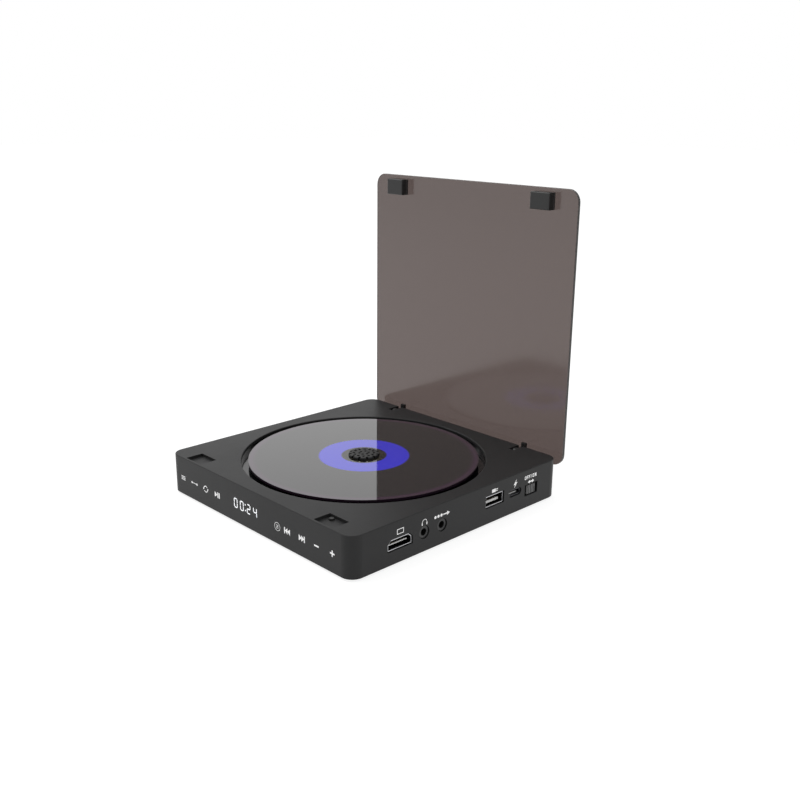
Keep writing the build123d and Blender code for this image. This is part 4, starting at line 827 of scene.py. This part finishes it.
def headphones_sign():
    """Arch with two ear pads."""
    inner = 1.35
    outer = 1.6
    reach = 1.5
    width = 0.55
    height = 1.3
    drop = 0.2
    pad_drop = 0.9
    pads = [block(way * reach, -pad_drop, width, height) for way in (-1, 1)]
    return [band(inner, outer, 0, 180, -drop)] + pads


def line_sign():
    """Three dots and an arrow that leads outwards."""
    dots = [dot(u, 0, radius=0.75) for u in (-4.6, -2.6, -0.6)]
    shaft = block(u=1.9, v=0, width=2.6, height=0.6)
    head = wedge(u=4.1, v=0, width=1.8, height=2.2, way=1)
    return dots + [shaft, head]


def plug_sign():
    """Plug with two prongs."""
    apart = 0.42
    body = block(u=-1.2, v=0, width=2.6, height=1.7)
    prongs = [block(u=1.0, v=way * apart, width=1.7, height=0.4) for way in (-1, 1)]
    return [body] + prongs


def bolt_sign():
    """Lightning bolt."""
    return [[(0.9, 2.3), (-1.4, -0.5), (-0.3, -0.5), (-0.9, -2.3), (1.45, 0.65), (0.3, 0.65)]]


def slide_sign():
    """Arrow with a head at each end."""
    reach = 1.7
    shaft = block(u=0, v=0, width=2.2, height=0.7)
    heads = [wedge(u=way * reach, v=0, width=1.5, height=2.0, way=way) for way in (-1, 1)]
    return [shaft] + heads


def letter_o(u, high, wide, thick):
    """Square letter O."""
    rim = (wide - thick) / 2
    top = (high - thick) / 2
    level = [block(u, way * top, wide - thick, thick) for way in (-1, 1)]
    upright = [block(u + way * rim, 0, thick, high - thick) for way in (-1, 1)]
    return level + upright


def letter_f(u, high, wide, thick):
    """Letter F, its middle arm shorter than its top."""
    shorter = thick / 2
    stem = block(u - (wide - thick) / 2, 0, thick, high)
    top = block(u + thick / 2, (high - thick) / 2, wide - thick, thick)
    arm = block(u + shorter / 2, 0, wide - thick - shorter, thick)
    return [stem, top, arm]


def letter_n(u, high, wide, thick):
    """Letter N."""
    rim = (wide - thick) / 2
    slant = line((u - rim, high / 2), (u + rim, -high / 2), thick)
    return [block(u - rim, 0, thick, high), block(u + rim, 0, thick, high), slant]


def power_words():
    """OFF and ON with a slanted stroke between them."""
    high = 1.9
    wide = 1.3
    thick = 0.38
    pitch = 1.65
    letters = ((letter_o, -2.75), (letter_f, -1.75), (letter_f, -0.8), (letter_o, 1.0), (letter_n, 2.1))
    slash_foot = (-0.35, -high / 2)
    slash_head = (0.45, high / 2)
    slash_thick = 0.9 * thick
    shapes = [line(slash_foot, slash_head, slash_thick)]
    for letter, step in letters:
        shapes += letter(step * pitch, high, wide, thick)
    return shapes


def over(name, rise, shift=0.0):
    """Place over the middle of a node in the right wall, in millimetres."""
    low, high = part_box(name)
    return (low.y + high.y) / (2 * MM) + shift, high.z / MM + rise


def side_signs(white):
    """Signs over the sockets and the power switch."""
    signs = (
        ("sign_screen", over("video_socket_shell", rise=3.2, shift=-0.1), screen_sign()),
        ("sign_headphones", over("headphone_jack", rise=2.2), headphones_sign()),
        ("sign_line", over("line_jack", rise=2.2, shift=-0.1), line_sign()),
        ("sign_data", over("data_socket_shell", rise=2.3), plug_sign()),
        ("sign_charge", over("charge_socket_shell", rise=3.1), bolt_sign()),
        ("sign_slide", over("power_knob", rise=0.35, shift=0.45), slide_sign()),
        ("sign_power", over("power_knob", rise=3.15, shift=0.55), power_words()),
    )
    for name, place, shapes in signs:
        print_sign(name, "right", place, shapes, white)


def add_slabs(name, slabs, material, body):
    """Thin slabs between two corners in metres, in one piece, with a fine bevel on their edges."""
    mesh = bmesh.new()
    for low, high in slabs:
        made = bmesh.ops.create_cube(mesh, size=1.0)["verts"]
        size = [top - bottom for bottom, top in zip(low, high)]
        middle = [(top + bottom) / 2 for bottom, top in zip(low, high)]
        bmesh.ops.scale(mesh, vec=size, verts=made)
        bmesh.ops.translate(mesh, vec=middle, verts=made)
    bmesh.ops.bevel(mesh, geom=list(mesh.edges), offset=SLAB_BEVEL, segments=1, affect="EDGES")
    add_piece(name, mesh, material, body)


def tongue_contacts(gold_plate):
    """Gold strips along the tongues of the three flat sockets."""
    rows = (("video", TONGUE_ROWS_VIDEO), ("data", TONGUE_ROWS_DATA), ("charge", TONGUE_ROWS_CHARGE))
    for name, (count, pitch, width, tongue_low, tongue_high) in rows:
        low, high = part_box(name + "_socket_insulator")
        middle = (low.y + high.y) / 2
        slabs = []
        for step in range(count):
            y = middle + (step - (count - 1) / 2) * pitch
            for z in (tongue_low, tongue_high):
                start = (high.x - CONTACT_LENGTH, y - width / 2, z - CONTACT_RISE)
                end = (high.x - CONTACT_SETBACK, y + width / 2, z + CONTACT_RISE)
                slabs.append((start, end))
        add_slabs(name + "_contacts", slabs, gold_plate, "player")


def block_pale_bands(material):
    """Narrow pale band round each lid block, a little in from its high y face."""
    for side in ("left", "right"):
        low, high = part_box("lid_block_" + side)
        near, far = high.y - BAND_FAR, high.y - BAND_NEAR
        rise = BAND_RISE
        slabs = [
            ((low.x - rise, near, low.z), (low.x + rise, far, high.z)),
            ((high.x - rise, near, low.z), (high.x + rise, far, high.z)),
            ((low.x, near, low.z - rise), (high.x, far, low.z + rise)),
            ((low.x, near, high.z - rise), (high.x, far, high.z + rise)),
        ]
        add_slabs("block_pale_band_" + side, slabs, material, "lid")


bpy.context.scene.view_settings.view_transform = "Standard"
make_camera()
make_surroundings()
make_floor()
make_lamp()
MATERIALS = make_materials()
dress_nodes(MATERIALS)
front_signs(MATERIALS["print_white_with_painted_glow"], MATERIALS["lit_white"])
side_signs(MATERIALS["print_white_with_painted_glow"])
tongue_contacts(MATERIALS["contact_gold"])
block_pale_bands(MATERIALS["seam_grey"])
